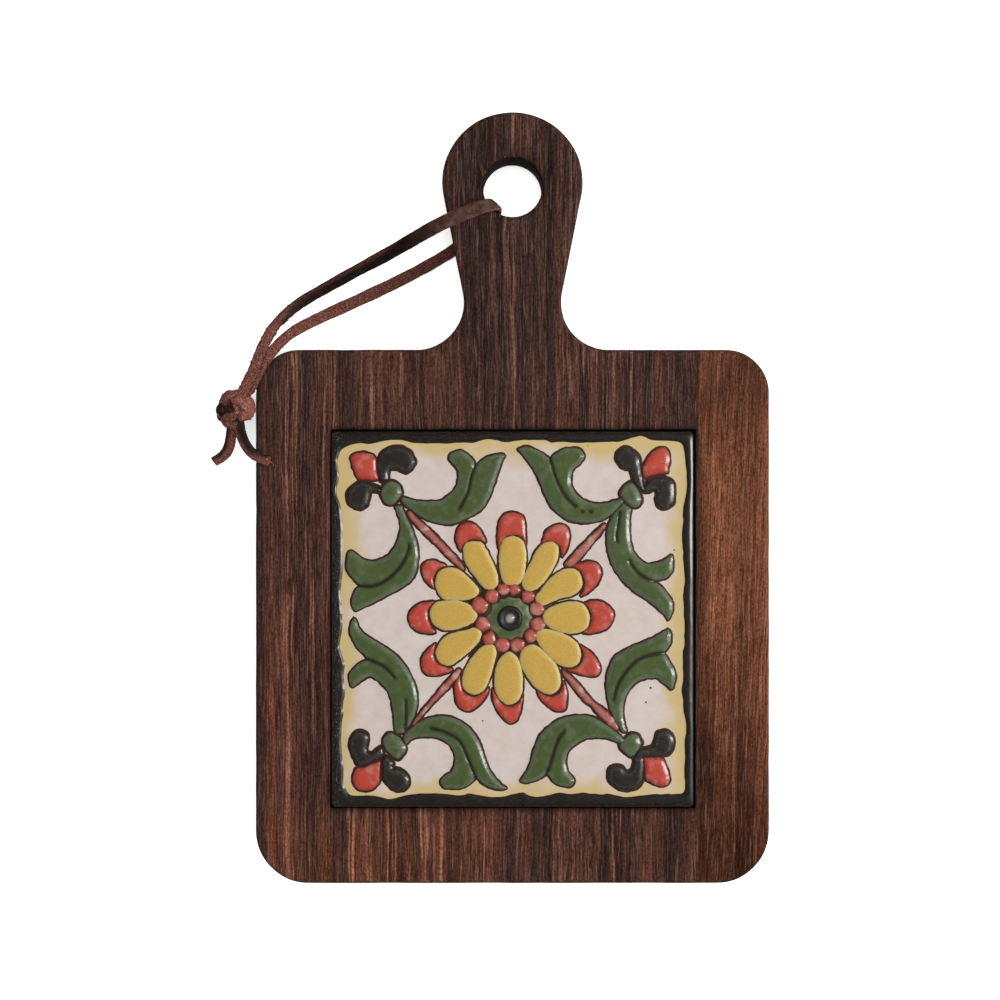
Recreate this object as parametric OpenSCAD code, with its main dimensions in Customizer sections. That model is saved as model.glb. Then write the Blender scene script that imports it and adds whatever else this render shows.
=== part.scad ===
// Paddle-shaped wooden table board with an inlaid relief tile and a leather hanging lace.
// Millimetres. The board lies face up: X across the grain, Y towards the handle, Z up.
// The origin is under the middle of the board, on the table.

/* [Board] */
// Width of the board across the grain
board_w = 142.4; // [136:0.2:160]
// Length of the board's body, without the handle
body_l = 148; // [142:0.5:170]
// Thickness of the board
board_t = 15; // [13:0.5:20]
// Radius of the two corners beside the handle
shoulder_r = 12; // [6:0.5:18]
// Radius of the two far corners
far_corner_r = 14.5; // [6:0.5:20]
// Bevel that eases the board's edges
edge_bevel = 1; // [0.4:0.1:2]

/* [Handle] */
// Length of the handle from the shoulder to its end
handle_l = 66; // [62:0.5:80]
// Radius of the handle's round end
head_r = 19.5; // [17:0.5:22]
// Width of the neck where it is narrowest
neck_w = 27; // [22:0.5:32]
// Radius of the fillet between the neck and the shoulder
neck_fillet_r = 13.2; // [8:0.2:16]
// Diameter of the hanging hole
hole_d = 16.4; // [15:0.2:18]
// Distance from the hole's centre to the handle's end
hole_from_end = 21; // [19:0.5:24]
// Bevel round both mouths of the hole
hole_bevel = 0.8; // [0.3:0.1:1.5]

/* [Tile] */
// Width of the tile across the board
tile_w = 100.2; // [92:0.2:108]
// Length of the tile along the board
tile_l = 104; // [96:0.5:112]
// Thickness of the fired clay body
tile_t = 7; // [5:0.5:9]
// Radius of the tile's upright corners
tile_corner_r = 2; // [1.5:0.1:4]
// Rounding of the tile's edges
tile_edge_r = 1.2; // [0.5:0.1:1.4]
// Distance from the tile to the board's far edge
tile_margin = 21.3; // [18:0.1:26]
// Height of the clay body above the board's face
tile_proud = 0.8; // [0.2:0.1:2]
// Clearance between the tile and its recess on each side
seat_gap = 0.9; // [0.5:0.1:1.5]
// How far the tile sits to the left of the recess's middle
tile_push = 0.5; // [0:0.1:0.5]
// Thickness of the adhesive under the tile
bed_t = 0.8; // [0.4:0.1:1.5]
// Distance that the adhesive stays back from the tile's edge
bed_inset = 4; // [2:0.5:10]

/* [Glaze] */
// Thickness of the pale ground glaze
ground_t = 0.4; // [0.2:0.1:0.8]
// Width of the black border
border_w = 2.6; // [2:0.1:3.4]
// Thickness of the black border
border_t = 0.6; // [0.3:0.1:1]
// Height of the waves along the border's inner edge
wave_h = 0.35; // [0:0.05:0.5]
// Number of waves along each side
wave_n = 9; // [3:1:14]
// Height of the raised colour fields
relief_h = 0.9; // [0.4:0.1:1.5]
// Width of the line left between neighbouring fields
line_w = 0.6; // [0.3:0.05:0.8]

/* [Flower] */
// Number of petals between two stems, an odd number so that one petal points at each side
petals_a_side = 3; // [1:2:3]
// Distance from the flower's centre to a petal's outer end
petal_out_r = 22.6; // [20:0.1:24]
// Width of a petal
petal_w = 7; // [5:0.1:7.4]
// Distance from the flower's centre to the red tips
tip_out_r = 28.6; // [26:0.1:29]
// Diameter of a berry
berry_d = 3; // [2:0.1:3.2]
// Radius of the green disc
disc_r = 5.9; // [5:0.1:7]
// Radius of the dark ring
ring_r = 3.4; // [2.5:0.1:4]
// Radius of the white pearl
pearl_r = 1.3; // [0.8:0.1:1.6]

/* [Corners] */
// Gap between the leaf tips that meet on a side's middle
leaf_gap = 3.6; // [2:0.2:8]
// Diameter of the round knop that holds each pair of leaves
knop_d = 5.6; // [4:0.1:5.8]
// Width of the red stems
stem_w = 1.7; // [1:0.1:1.8]

/* [Feet] */
// Diameter of a foot pad
foot_d = 12; // [8:0.5:20]
// Height of a foot pad, which leaves room for the lace below the handle
foot_h = 2.5; // [2.4:0.1:5]
// Distance from the board's sides to a foot pad's centre
foot_inset = 18; // [14:0.5:24]

/* [Lace] */
// Width of the flat leather lace
lace_w = 3.4; // [2:0.1:3.6]
// Thickness of the lace
lace_t = 1.5; // [1:0.1:1.6]
// Thickness of the lace as it is drawn together in the knot
knot_cord_d = 2; // [1.5:0.1:2.2]
// Reach of the knot's three lobes, to the middle of the lace
knot_r = 4.8; // [4.6:0.1:5.4]

/* [Hidden] */
$fn = 64;
whole_l = body_l + handle_l;
face_z = foot_h + board_t;
far_y = -whole_l / 2;
shoulder_y = far_y + body_l;
end_y = whole_l / 2;

// Handle: the head circle and the neck fillets share a straight tangent at angle flank_a
head_c = [0, end_y - head_r];
fillet_c = [neck_w / 2 + neck_fillet_r, shoulder_y + neck_fillet_r];
head_to_fillet = fillet_c - head_c;
flank_a = atan2(head_to_fillet.y, head_to_fillet.x)
    + acos((head_r + neck_fillet_r) / norm(head_to_fillet));
hole_c = [0, end_y - hole_from_end];

// Tile and its recess
tile_c = [0, far_y + tile_margin + tile_l / 2];
tile_z = face_z + tile_proud - tile_t;
recess_z = tile_z - bed_t;
recess_w = tile_w + 2 * seat_gap;
recess_l = tile_l + 2 * seat_gap;
glue_x = recess_w / 2 + tile_push;
ground_z = tile_z + tile_t;
field_z = ground_z + ground_t;

// Corner motifs, drawn from a corner of the tile for a leaf that reaches 48.4 mm along its side.
// Each point is [distance along the side, distance from the side, half width].
drawn_reach = 48.4;
leaf_reach = min(tile_w, tile_l) / 2 - leaf_gap / 2;
motif = leaf_reach / drawn_reach;
leaf_lobe = [[20.2, 18.4, 0], [25.6, 20.6, 0.8], [30.8, 20.6, 1.5], [35, 18.4, 2.2], [37, 14.4, 2.5],
    [36.7, 10.6, 2.9], [35.9, 7.6, 3.1], [35.8, 5.8, 2.3], [35.8, 4.8, 0]];
leaf_blade = [[20.4, 19.6, 0], [24.8, 22.6, 0.8], [31.2, 24.3, 1.4], [37.5, 23, 1.9], [41.7, 18.3, 2.3],
    [43.6, 13.5, 2.4], [45.5, 10, 1.9], [48.4, 6.4, 0]];
sepal = [[15.3, 13.6, 0], [15.3, 12, 1.5], [15.8, 9.6, 2], [17.6, 7.9, 2.6], [20, 8, 2.7], [21.3, 9.7, 2],
    [21.3, 11.6, 0]];
bud = [[12.7, 12.7, 0], [11.2, 11.2, 1.9], [9, 9, 3.2], [7, 7, 3.2], [5.9, 5.9, 2.2], [5.2, 5.2, 0]];
knop_at = 16.8;
stem_at = 24.4;

// Flower: disc, ring of berries, petals and stems follow one another outwards
petal_n = 4 * petals_a_side;
berry_ring_r = disc_r + line_w + berry_d / 2;
petal_in_r = berry_ring_r + berry_d / 2 + line_w / 2;
petal_span = petal_out_r - petal_in_r;
stem_tuck = 1.6;
stem_end_r = petal_out_r - stem_tuck;

// The lace, from the knot over the handle, down the hole and back below the handle to the knot
lace_side = [0.73, -0.68, 0];
tail_inner_side = [0.77, 0.64, 0];
lace_route = [[-76.4, 25.6, 19.7], [-73.8, 30, 20.5], [-71, 35.5, 20.7], [-69, 41, 20.7], [-66.8, 45.5, 20],
    [-63.5, 49.7, 19], [-58.5, 54, 18], [-51, 58.5, 17.2], [-43, 63, 17], [-34.5, 67.5, 17.4],
    [-26.5, 72, 18.2], [-19.5, 75.8, 18.8], [-12, 79, 18.9], [-8.2, 80.4, 18.9], [-5.8, 81, 18.2],
    [-4.7, 81.1, 16], [-4.6, 81.1, 10], [-4.6, 81.1, 4], [-5.4, 80.4, 1.6], [-8.2, 78, 1.4],
    [-12.5, 74, 1.4], [-16.5, 70.6, 1.4], [-20.5, 68, 1.5], [-25.5, 65, 2.8], [-31, 61.8, 5.2],
    [-37.5, 58.2, 8.4], [-45.5, 54, 12.4], [-54, 49.6, 16.4], [-60.5, 45.9, 18.4], [-65, 42, 18.7],
    [-68.5, 37.5, 18.7], [-71.3, 32.5, 18.6], [-74.2, 28, 18.1], [-76.8, 25, 17.4]];
tail_outer_route = [[-76.8, 24, 17], [-77.8, 19, 16.8], [-78.6, 14.5, 16.2], [-80.2, 11.8, 15.6], [-83, 10, 15]];
tail_inner_route = [[-76, 24, 18.6], [-75, 17.5, 18.9], [-72.8, 13.2, 19], [-70, 11, 18.8], [-67, 10, 18.7]];
knot_c = [-77, 25.2, 18.4];
knot_eye_r = 1.1 * knot_cord_d;
knot_lift = 0.95 * knot_cord_d;
knot_turn_r = (knot_r - knot_eye_r) / 2;
knot_lobe_r = (knot_r + knot_eye_r) / 2;
knot_rings = 48;

// Points of an arc
function arc(c, r, a0, a1, n) =
    [for (i = [0:n]) c + r * [cos(a0 + (a1 - a0) * i / n), sin(a0 + (a1 - a0) * i / n)]];

// Outline of a rectangle with round corners, drawn in by inset
function round_rect(w, l, r, inset) = concat(
    arc([r - w / 2, r - l / 2], r - inset, 180, 270, 8),
    arc([w / 2 - r, r - l / 2], r - inset, 270, 360, 8),
    arc([w / 2 - r, l / 2 - r], r - inset, 0, 90, 8),
    arc([r - w / 2, l / 2 - r], r - inset, 90, 180, 8));

// Outline of the board, drawn in by inset
function board_outline(inset) = concat(
    arc([far_corner_r - board_w / 2, far_y + far_corner_r], far_corner_r - inset, 180, 270, 9),
    arc([board_w / 2 - far_corner_r, far_y + far_corner_r], far_corner_r - inset, 270, 360, 9),
    arc([board_w / 2 - shoulder_r, shoulder_y - shoulder_r], shoulder_r - inset, 0, 90, 9),
    arc(fillet_c, neck_fillet_r + inset, 270, 180 + flank_a, 9),
    arc(head_c, head_r - inset, flank_a, 180 - flank_a, 24),
    arc([-fillet_c.x, fillet_c.y], neck_fillet_r + inset, -flank_a, -90, 9),
    arc([shoulder_r - board_w / 2, shoulder_y - shoulder_r], shoulder_r - inset, 90, 180, 9));

// Insets and heights of a slab whose edges are rounded
function slab_steps(t, r) = concat(
    [for (a = [0:30:90]) [r * (1 - sin(a)), r * (1 - cos(a))]],
    [for (a = [90:-30:0]) [r * (1 - sin(a)), t - r * (1 - cos(a))]]);

// Solid through a stack of closed rings of equal length, listed from the bottom up
module ring_stack(rings) {
    n = len(rings[0]);
    last = len(rings) - 1;
    sides = [for (k = [0:last - 1], i = [0:n - 1])
        let (a = k * n + i, b = k * n + (i + 1) % n)
        each [[a, a + n, b + n], [a, b + n, b]]];
    caps = [[for (i = [0:n - 1]) i], [for (i = [n - 1:-1:0]) last * n + i]];
    polyhedron([for (ring = rings) each ring], concat(sides, caps));
}

// Smooth curve through points, with n steps from each to the next
function smooth(p, n) = concat(
    [for (i = [0:len(p) - 2], k = [0:n - 1])
        let (a = p[max(i - 1, 0)], b = p[i], c = p[i + 1], d = p[min(i + 2, len(p) - 1)], t = k / n)
        (2 * b + (c - a) * t + (2 * a - 5 * b + 4 * c - d) * t ^ 2 + (3 * b - a - 3 * c + d) * t ^ 3) / 2],
    [p[len(p) - 1]]);
function flat(p) = [p.x, p.y];
function unit(v) = v / norm(v);
function along(p, i) = unit(p[min(i + 1, len(p) - 1)] - p[max(i - 1, 0)]);

// Raised field between two edges that meet at both ends, with a crowned top
crown = [[0, 0], [0.14, 0.72], [0.5, 1], [0.86, 0.72], [1, 0]];
module pillow(left, right, h) {
    n = len(left) - 1;
    m = len(crown);
    end = 1 + (n - 1) * m;
    points = concat([[left[0].x, left[0].y, 0]],
        [for (i = [1:n - 1], c = crown)
            let (p = left[i] + (right[i] - left[i]) * c[0]) [p.x, p.y, h * c[1]]],
        [[left[n].x, left[n].y, 0]]);
    first = [for (j = [0:m - 2]) [0, 1 + j, 2 + j]];
    top = [for (i = [0:n - 3], j = [0:m - 2])
        let (a = 1 + i * m + j) each [[a, a + m, a + m + 1], [a, a + m + 1, a + 1]]];
    under = [for (i = [0:n - 3])
        let (a = 1 + i * m, b = a + m - 1) each [[a, b, b + m], [a, b + m, a + m]]];
    final = [for (j = [0:m - 2]) [end, end - m + j + 1, end - m + j]];
    ends = [[0, m, 1], [end, end - m, end - 1]];
    polyhedron(points, concat(first, top, under, final, ends));
}

// Raised field along a spine of [x, y, half width]
module stroke(spine, h, steps) {
    s = smooth(spine, steps);
    function edge(i, side) = let (t = unit(flat(along([for (p = s) flat(p)], i))))
        flat(s[i]) + side * max(s[i].z, 0) * [-t.y, t.x];
    pillow([for (i = [0:len(s) - 1]) edge(i, 1)], [for (i = [0:len(s) - 1]) edge(i, -1)], h);
}

// Low dome and low ring, both crowned
module dome(r, h) {
    crown_r = (r ^ 2 + h ^ 2) / (2 * h);
    rotate_extrude() intersection() {
        translate([0, h - crown_r]) circle(crown_r, $fn = 180);
        square([r, h]);
    }
}
module crowned_ring(r_in, r_out, h) {
    half = (r_out - r_in) / 2;
    crown_r = (half ^ 2 + h ^ 2) / (2 * h);
    rotate_extrude() translate([r_in + half, 0]) intersection() {
        translate([0, h - crown_r]) circle(crown_r, $fn = 180);
        translate([-half, 0]) square([2 * half, h]);
    }
}

// Places what is drawn from the tile's near-origin corner at all four corners
module at_corners() {
    for (mx = [0, 1], my = [0, 1])
        translate([tile_c.x, tile_c.y, field_z]) mirror([mx, 0, 0]) mirror([0, my, 0])
            translate([-tile_w / 2, -tile_l / 2, 0]) children();
}
module with_twin() {
    children();
    mirror([1, -1, 0]) children();
}
module round_flower() {
    for (i = [0:petal_n - 1])
        translate([tile_c.x, tile_c.y, field_z]) rotate(i * 360 / petal_n) children();
}

// Board: one slab with bevelled edges, glued up from a wide and a narrow stave
module board_slab() {
    difference() {
        translate([0, 0, foot_h]) linear_extrude(board_t) polygon(board_outline(0));
        for (mz = [0, 1])
            translate([0, 0, mz * (foot_h + face_z)]) mirror([0, 0, mz]) edge_cutter();
    }
}

// Closed band that cuts the bevel off the board's upper edge
cut = 1;
module edge_cutter() {
    rings = [for (s = [[edge_bevel + cut, face_z + cut], [-cut, face_z - edge_bevel - cut], [-cut, face_z + cut]])
        [for (p = board_outline(s[0])) [p.x, p.y, s[1]]]];
    n = len(rings[0]);
    faces = [for (k = [0:2], i = [0:n - 1])
        let (a = k * n + i, b = k * n + (i + 1) % n, c = (k + 1) % 3 * n + i, d = (k + 1) % 3 * n + (i + 1) % n)
        each [[a, d, b], [a, c, d]]];
    polyhedron([for (ring = rings) each ring], faces);
}
module half_space(side) {
    translate([glue_x + side * board_w / 2, 0, face_z / 2]) cube([board_w, 2 * whole_l, 2 * face_z], center = true);
}
module hanging_hole() {
    translate([hole_c.x, hole_c.y, 0]) {
        translate([0, 0, foot_h - 1]) cylinder(d = hole_d, h = board_t + 2);
        for (z = [foot_h, face_z])
            translate([0, 0, z]) mirror([0, 0, z == foot_h ? 1 : 0]) translate([0, 0, -hole_bevel])
                cylinder(r1 = hole_d / 2, r2 = hole_d / 2 + 2 * hole_bevel, h = 2 * hole_bevel);
    }
}
module board_wide_stave() {
    color("#4a2f27") difference() {
        intersection() {
            board_slab();
            half_space(-1);
        }
        hanging_hole();
        translate([tile_c.x - tile_w / 2 - seat_gap + tile_push, tile_c.y - recess_l / 2, recess_z])
            cube([recess_w + 1, recess_l, board_t]);
    }
}
module board_narrow_stave() {
    color("#66402f") intersection() {
        board_slab();
        half_space(1);
    }
}

// Tile: adhesive, clay body, pale ground and black border
module tile_adhesive() {
    color("#b9b2a4") translate([tile_c.x, tile_c.y, recess_z + bed_t / 2])
        cube([tile_w - 2 * bed_inset, tile_l - 2 * bed_inset, bed_t], center = true);
}
module tile_body() {
    color("#c9a58c") translate([tile_c.x, tile_c.y, tile_z])
        ring_stack([for (s = slab_steps(tile_t, tile_edge_r))
            [for (p = round_rect(tile_w, tile_l, tile_corner_r, s[0])) [p.x, p.y, s[1]]]]);
}
module tile_top_outline() {
    polygon(round_rect(tile_w, tile_l, tile_corner_r, tile_edge_r));
}
module ground_glaze() {
    color("#e9dfd6") translate([tile_c.x, tile_c.y, ground_z]) linear_extrude(ground_t) tile_top_outline();
}

// Inner edge of the border, a rectangle with waves along each side
wave_steps = 4;
function wave(i) = wave_h * sin(i * 360 / wave_steps);
function wave_side(reach, off) = [for (i = [0:wave_n * wave_steps - 1])
    [reach * (2 * i / (wave_n * wave_steps) - 1), wave(i) - off]];
function wave_edge(w, l) = concat(wave_side(w / 2, l / 2),
    [for (p = wave_side(l / 2, w / 2)) [-p.y, p.x]],
    [for (p = wave_side(w / 2, l / 2)) -p],
    [for (p = wave_side(l / 2, w / 2)) [p.y, -p.x]]);
module border_glaze() {
    color("#1d1a19") translate([tile_c.x, tile_c.y, field_z]) linear_extrude(border_t) difference() {
        tile_top_outline();
        polygon(wave_edge(tile_w - 2 * tile_edge_r - 2 * border_w, tile_l - 2 * tile_edge_r - 2 * border_w));
    }
}

// Raised colour fields of the corners
module leaf_fields() {
    color("#4d6a3c") at_corners() with_twin() {
        stroke(motif * leaf_lobe, relief_h, 2);
        stroke(motif * leaf_blade, relief_h, 2);
    }
}
module knop_fields() {
    color("#587a45") at_corners() translate(motif * [knop_at, knop_at, 0]) dome(knop_d / 2, relief_h);
}
module bud_fields() {
    color("#b0453a") at_corners() stroke(motif * bud, relief_h, 2);
}
module sepal_fields() {
    color("#262222") at_corners() with_twin() stroke(motif * sepal, relief_h, 2);
}
module stem_fields() {
    start = motif * [stem_at, stem_at];
    finish = [tile_w, tile_l] / 2 - stem_end_r * unit([1, 1]);
    step = stem_w * unit(finish - start);
    color("#a8473f") at_corners()
        stroke([concat(start, 0), concat(start + step, stem_w / 2), concat(finish - step, stem_w / 2),
            concat(finish, 0)], relief_h * 0.7, 1);
}

// Raised colour fields of the flower
petal_shape = [[0, 0], [0.05, 0.35], [0.2, 0.62], [0.44, 0.9], [0.68, 1], [0.86, 0.84], [0.95, 0.5], [1, 0]];
module petal_fields() {
    color("#d8cf4e") round_flower()
        stroke([for (s = petal_shape) [0, petal_in_r + petal_span * s[0], petal_w / 2 * s[1]]], relief_h, 2);
}
module petal_tip_fields() {
    swell_r = petal_in_r + petal_span * 0.68;
    in_w = petal_w / 2 + line_w;
    in_l = petal_out_r + line_w - swell_r;
    out_w = in_w + line_w / 4;
    out_l = tip_out_r - swell_r;
    horn = 84;
    inner = [for (a = [-horn:12:horn]) [in_w * sin(a), swell_r + in_l * cos(a)]];
    outer = [for (a = [-horn:12:horn]) [out_w * sin(a), swell_r + out_l * cos(a)]];
    last = len(inner) - 1;
    function closed(p) = [for (i = [0:last]) i == 0 || i == last ? (inner[i] + outer[i]) / 2 : p[i]];
    color("#b4503f") round_flower() pillow(closed(outer), closed(inner), relief_h * 0.9);
}
module berry_fields() {
    color("#b04a42") round_flower() translate([0, berry_ring_r, 0]) dome(berry_d / 2, relief_h);
}
module disc_field() {
    color("#4f6b47") translate([tile_c.x, tile_c.y, field_z]) crowned_ring(ring_r + line_w / 4, disc_r, relief_h);
}
module ring_field() {
    color("#1e1d1a") translate([tile_c.x, tile_c.y, field_z]) crowned_ring(pearl_r + line_w / 4, ring_r, relief_h);
}
module pearl_field() {
    color("#e8e4de") translate([tile_c.x, tile_c.y, field_z]) dome(pearl_r, relief_h);
}

// Foot pads, stuck under the four corners of the body
module foot(side_x, side_y) {
    y = side_y > 0 ? shoulder_y - foot_inset : far_y + foot_inset;
    color("#2e2a28") translate([side_x * (board_w / 2 - foot_inset), y, 0]) {
        cylinder(d1 = foot_d - foot_h / 2, d2 = foot_d, h = foot_h / 4);
        translate([0, 0, foot_h / 4]) cylinder(d = foot_d, h = foot_h * 3 / 4);
    }
}
module foot_near_left() foot(-1, 1);
module foot_near_right() foot(1, 1);
module foot_far_left() foot(-1, -1);
module foot_far_right() foot(1, -1);

// Flat lace swept along a route: eight sides, with its width held level and towards one side
lace_section = [[-0.5, -0.2], [-0.36, -0.5], [0.36, -0.5], [0.5, -0.2], [0.5, 0.2], [0.36, 0.5], [-0.36, 0.5],
    [-0.5, 0.2]];
module lace(route, side) {
    path = smooth(route, 2);
    function ring(i) = let (t = along(path, i), w = unit(side - (side * t) * t), up = cross(t, w))
        [for (s = lace_section) path[i] + lace_w * s[0] * w + lace_t * s[1] * up];
    color("#5d3a2e") ring_stack([for (i = [0:len(path) - 1]) ring(i)]);
}
module lace_loop() lace(lace_route, lace_side);
module lace_tail_outer() lace(tail_outer_route, lace_side);
module lace_tail_inner() lace(tail_inner_route, tail_inner_side);

// Overhand knot: a closed three-lobed tube
function knot_point(t) = knot_c + [knot_turn_r * sin(t) + knot_lobe_r * sin(2 * t),
    knot_turn_r * cos(t) - knot_lobe_r * cos(2 * t), -knot_lift * sin(3 * t)];
knot_path = [for (i = [0:knot_rings - 1]) knot_point(i * 360 / knot_rings)];
knot_far = knot_rings / 6;
knot_gap = min([for (i = [0:knot_rings - 1], k = [knot_far:knot_rings - knot_far])
    norm(knot_path[i] - knot_path[(i + k) % knot_rings])]) - knot_cord_d;
module lace_knot() {
    echo("least gap of the knot to itself", knot_gap);
    sides = 8;
    function ring(i) = let (
        t = unit(knot_path[(i + 1) % knot_rings] - knot_path[(i + knot_rings - 1) % knot_rings]),
        out = knot_path[i] - knot_c, w = unit(out - (out * t) * t), up = cross(t, w))
        [for (a = [0:360 / sides:359]) knot_path[i] + knot_cord_d / 2 * (cos(a) * w + sin(a) * up)];
    faces = [for (i = [0:knot_rings - 1], j = [0:sides - 1])
        let (a = i * sides + j, b = i * sides + (j + 1) % sides, n = knot_rings * sides)
        each [[a, (a + sides) % n, (b + sides) % n], [a, (b + sides) % n, b]]];
    color("#6b4034") polyhedron([for (i = [0:knot_rings - 1]) each ring(i)], faces);
}

board_wide_stave();
board_narrow_stave();
tile_adhesive();
tile_body();
ground_glaze();
border_glaze();
leaf_fields();
knop_fields();
bud_fields();
sepal_fields();
stem_fields();
petal_fields();
petal_tip_fields();
berry_fields();
disc_field();
ring_field();
pearl_field();
foot_near_left();
foot_near_right();
foot_far_left();
foot_far_right();
lace_loop();
lace_knot();
lace_tail_outer();
lace_tail_inner();
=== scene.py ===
# %% [markdown]
# # Paddle board with an inlaid relief tile and a leather lace
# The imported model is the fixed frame: every size and place in this lesson is measured from it. Lengths are
# written in millimetres, as a maker would, and turned to metres where a mesh is made.

import math
import random

import bpy
import numpy as np
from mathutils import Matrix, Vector, noise
from mathutils.geometry import delaunay_2d_cdt


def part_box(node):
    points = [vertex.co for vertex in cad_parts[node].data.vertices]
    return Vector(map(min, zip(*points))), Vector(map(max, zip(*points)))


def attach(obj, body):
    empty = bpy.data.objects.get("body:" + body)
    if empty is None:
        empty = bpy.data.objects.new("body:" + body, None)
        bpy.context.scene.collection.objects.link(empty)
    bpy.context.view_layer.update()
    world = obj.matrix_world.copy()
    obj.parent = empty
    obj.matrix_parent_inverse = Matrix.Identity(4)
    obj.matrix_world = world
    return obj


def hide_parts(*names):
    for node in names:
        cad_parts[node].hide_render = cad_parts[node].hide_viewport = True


MM = 0.001
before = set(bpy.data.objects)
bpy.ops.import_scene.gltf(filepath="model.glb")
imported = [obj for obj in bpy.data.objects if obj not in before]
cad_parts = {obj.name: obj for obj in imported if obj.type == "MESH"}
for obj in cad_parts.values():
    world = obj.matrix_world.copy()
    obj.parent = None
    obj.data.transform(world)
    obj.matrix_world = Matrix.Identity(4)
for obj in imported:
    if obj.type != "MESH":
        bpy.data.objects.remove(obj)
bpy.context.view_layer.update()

# %% [markdown]
# ## Camera
# The photograph looks straight down. The crescent of the hole's far wall that it shows gives the distance: about
# 577 mm above the board's face. There the picture is 277 mm wide. A perspective camera with no shift does it.

# %% Camera
FACE_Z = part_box("board_wide_stave")[1].z / MM
CAMERA_ABOVE_FACE = 577.0
PICTURE_WIDTH = 277.0
PICTURE_CENTRE = (-3.46, -0.69)

camera = bpy.data.objects.new("camera", bpy.data.cameras.new("camera"))
bpy.context.scene.collection.objects.link(camera)
camera.location = [c * MM for c in (*PICTURE_CENTRE, FACE_Z + CAMERA_ABOVE_FACE)]
camera.data.sensor_width = 36.0
camera.data.lens = camera.data.sensor_width * CAMERA_ABOVE_FACE / PICTURE_WIDTH
bpy.context.scene.camera = camera
print("lens in mm:", round(camera.data.lens, 2))

# %% [markdown]
# ## Helpers for meshes and materials
# One function turns points in millimetres into a smooth-shaded object. One function turns a colour as a designer
# writes it, sRGB hex, into the linear numbers that a renderer adds up. One function adds a shader node with its
# settings and links. What goes into a socket is a plain value, which is set, or another node or one of its outputs,
# which is linked. Sockets go by their names, or by their numbers, in the order in which the node shows them.

# %% Helpers
def piece(name, points, faces, finish, sharp_deg=35):
    """A smooth-shaded object from points in millimetres. Edges sharper than sharp_deg stay sharp."""
    mesh = bpy.data.meshes.new(name)
    mesh.from_pydata([[c * MM for c in p] for p in points], [], faces)
    mesh.validate()
    mesh.shade_smooth()
    mesh.set_sharp_from_angle(angle=math.radians(sharp_deg))
    mesh.materials.append(finish)
    obj = bpy.data.objects.new(name, mesh)
    bpy.context.scene.collection.objects.link(obj)
    return obj


def paint_points(obj, name, values):
    """Stores one number on each point, for a material to read."""
    layer = obj.data.attributes.new(name, "FLOAT", "POINT")
    layer.data.foreach_set("value", np.asarray(values, np.float32))


def linear(hex_colour):
    parts = [int(hex_colour[i:i + 2], 16) / 255 for i in (1, 3, 5)]
    return [c / 12.92 if c <= 0.04045 else ((c + 0.055) / 1.055) ** 2.4 for c in parts] + [1.0]


def connect(tree, value, socket):
    """Sets a socket to a plain value, or links it to an output. A node stands for its first output."""
    if isinstance(value, bpy.types.Node):
        value = value.outputs[0]
    if isinstance(value, bpy.types.NodeSocket):
        tree.links.new(value, socket)
    else:
        socket.default_value = value


def add(tree, kind, settings=None, inputs=None, stops=()):
    """Adds one node. Inputs are a dict, or a tuple in the node's own order. Stops are those of a colour ramp."""
    node = tree.nodes.new("ShaderNode" + kind)
    for key, value in (settings or {}).items():
        setattr(node, key, value)
    for key, value in inputs.items() if isinstance(inputs, dict) else enumerate(inputs or ()):
        connect(tree, value, node.inputs[key])
    for i, (place, colour) in enumerate(stops):
        element = node.color_ramp.elements[i] if i < 2 else node.color_ramp.elements.new(place)
        element.position = place
        element.color = linear(colour)
    return node


def new_material(name):
    """A material, its nodes, its shader and the node that gives a place on the object in millimetres."""
    finish = bpy.data.materials.new(name)
    finish.use_nodes = True
    tree = finish.node_tree
    shader = tree.nodes["Principled BSDF"]
    where = add(tree, "TexCoord")
    millimetres = add(tree, "VectorMath", {"operation": "SCALE"},
                      {0: where.outputs["Object"], "Scale": 1 / MM})
    return finish, tree, shader, millimetres


def join_shader(tree, shader, colour, roughness, height, depth_mm, strength):
    """Joins the pattern to the shader. The height is fine relief, as deep as depth_mm."""
    bump = add(tree, "Bump", None, {"Strength": strength, "Distance": depth_mm * MM, "Height": height})
    for name, value in (("Base Color", colour), ("Roughness", roughness), ("Normal", bump)):
        connect(tree, value, shader.inputs[name])


# %% [markdown]
# ## Curves drawn
# Most outlines here are a few chosen points with a smooth curve through them. Where a corner is sharp, its point
# is written twice. A little noise makes a painted line waver as a hand does.

# %% Curves
def smooth(points, steps, closed=False):
    """A curve that passes through every point, with so many steps from each point to the next."""
    p = np.asarray(points, float)
    n = len(p)
    spans = range(n if closed else n - 1)
    at = (lambda i: p[i % n]) if closed else (lambda i: p[min(max(i, 0), n - 1)])
    out = []
    for i in spans:
        a, b, c, d = at(i - 1), at(i), at(i + 1), at(i + 2)
        if np.allclose(b, c):
            continue
        for k in range(steps):
            t = k / steps
            out.append((2 * b + (c - a) * t + (2 * a - 5 * b + 4 * c - d) * t ** 2
                        + (3 * b - a - 3 * c + d) * t ** 3) / 2)
    if not closed:
        out.append(p[-1])
    return np.array(out)


def resample(points, spacing, closed=True):
    """The same line with its points evenly spaced."""
    p = np.vstack([points, points[:1]]) if closed else np.asarray(points)
    run = np.concatenate([[0], np.cumsum(np.linalg.norm(np.diff(p, axis=0), axis=1))])
    count = max(8, int(round(run[-1] / spacing)))
    marks = np.linspace(0, run[-1], count + 1)
    if closed:
        marks = marks[:-1]
    return np.stack([np.interp(marks, run, p[:, k]) for k in range(p.shape[1])], 1)


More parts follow.
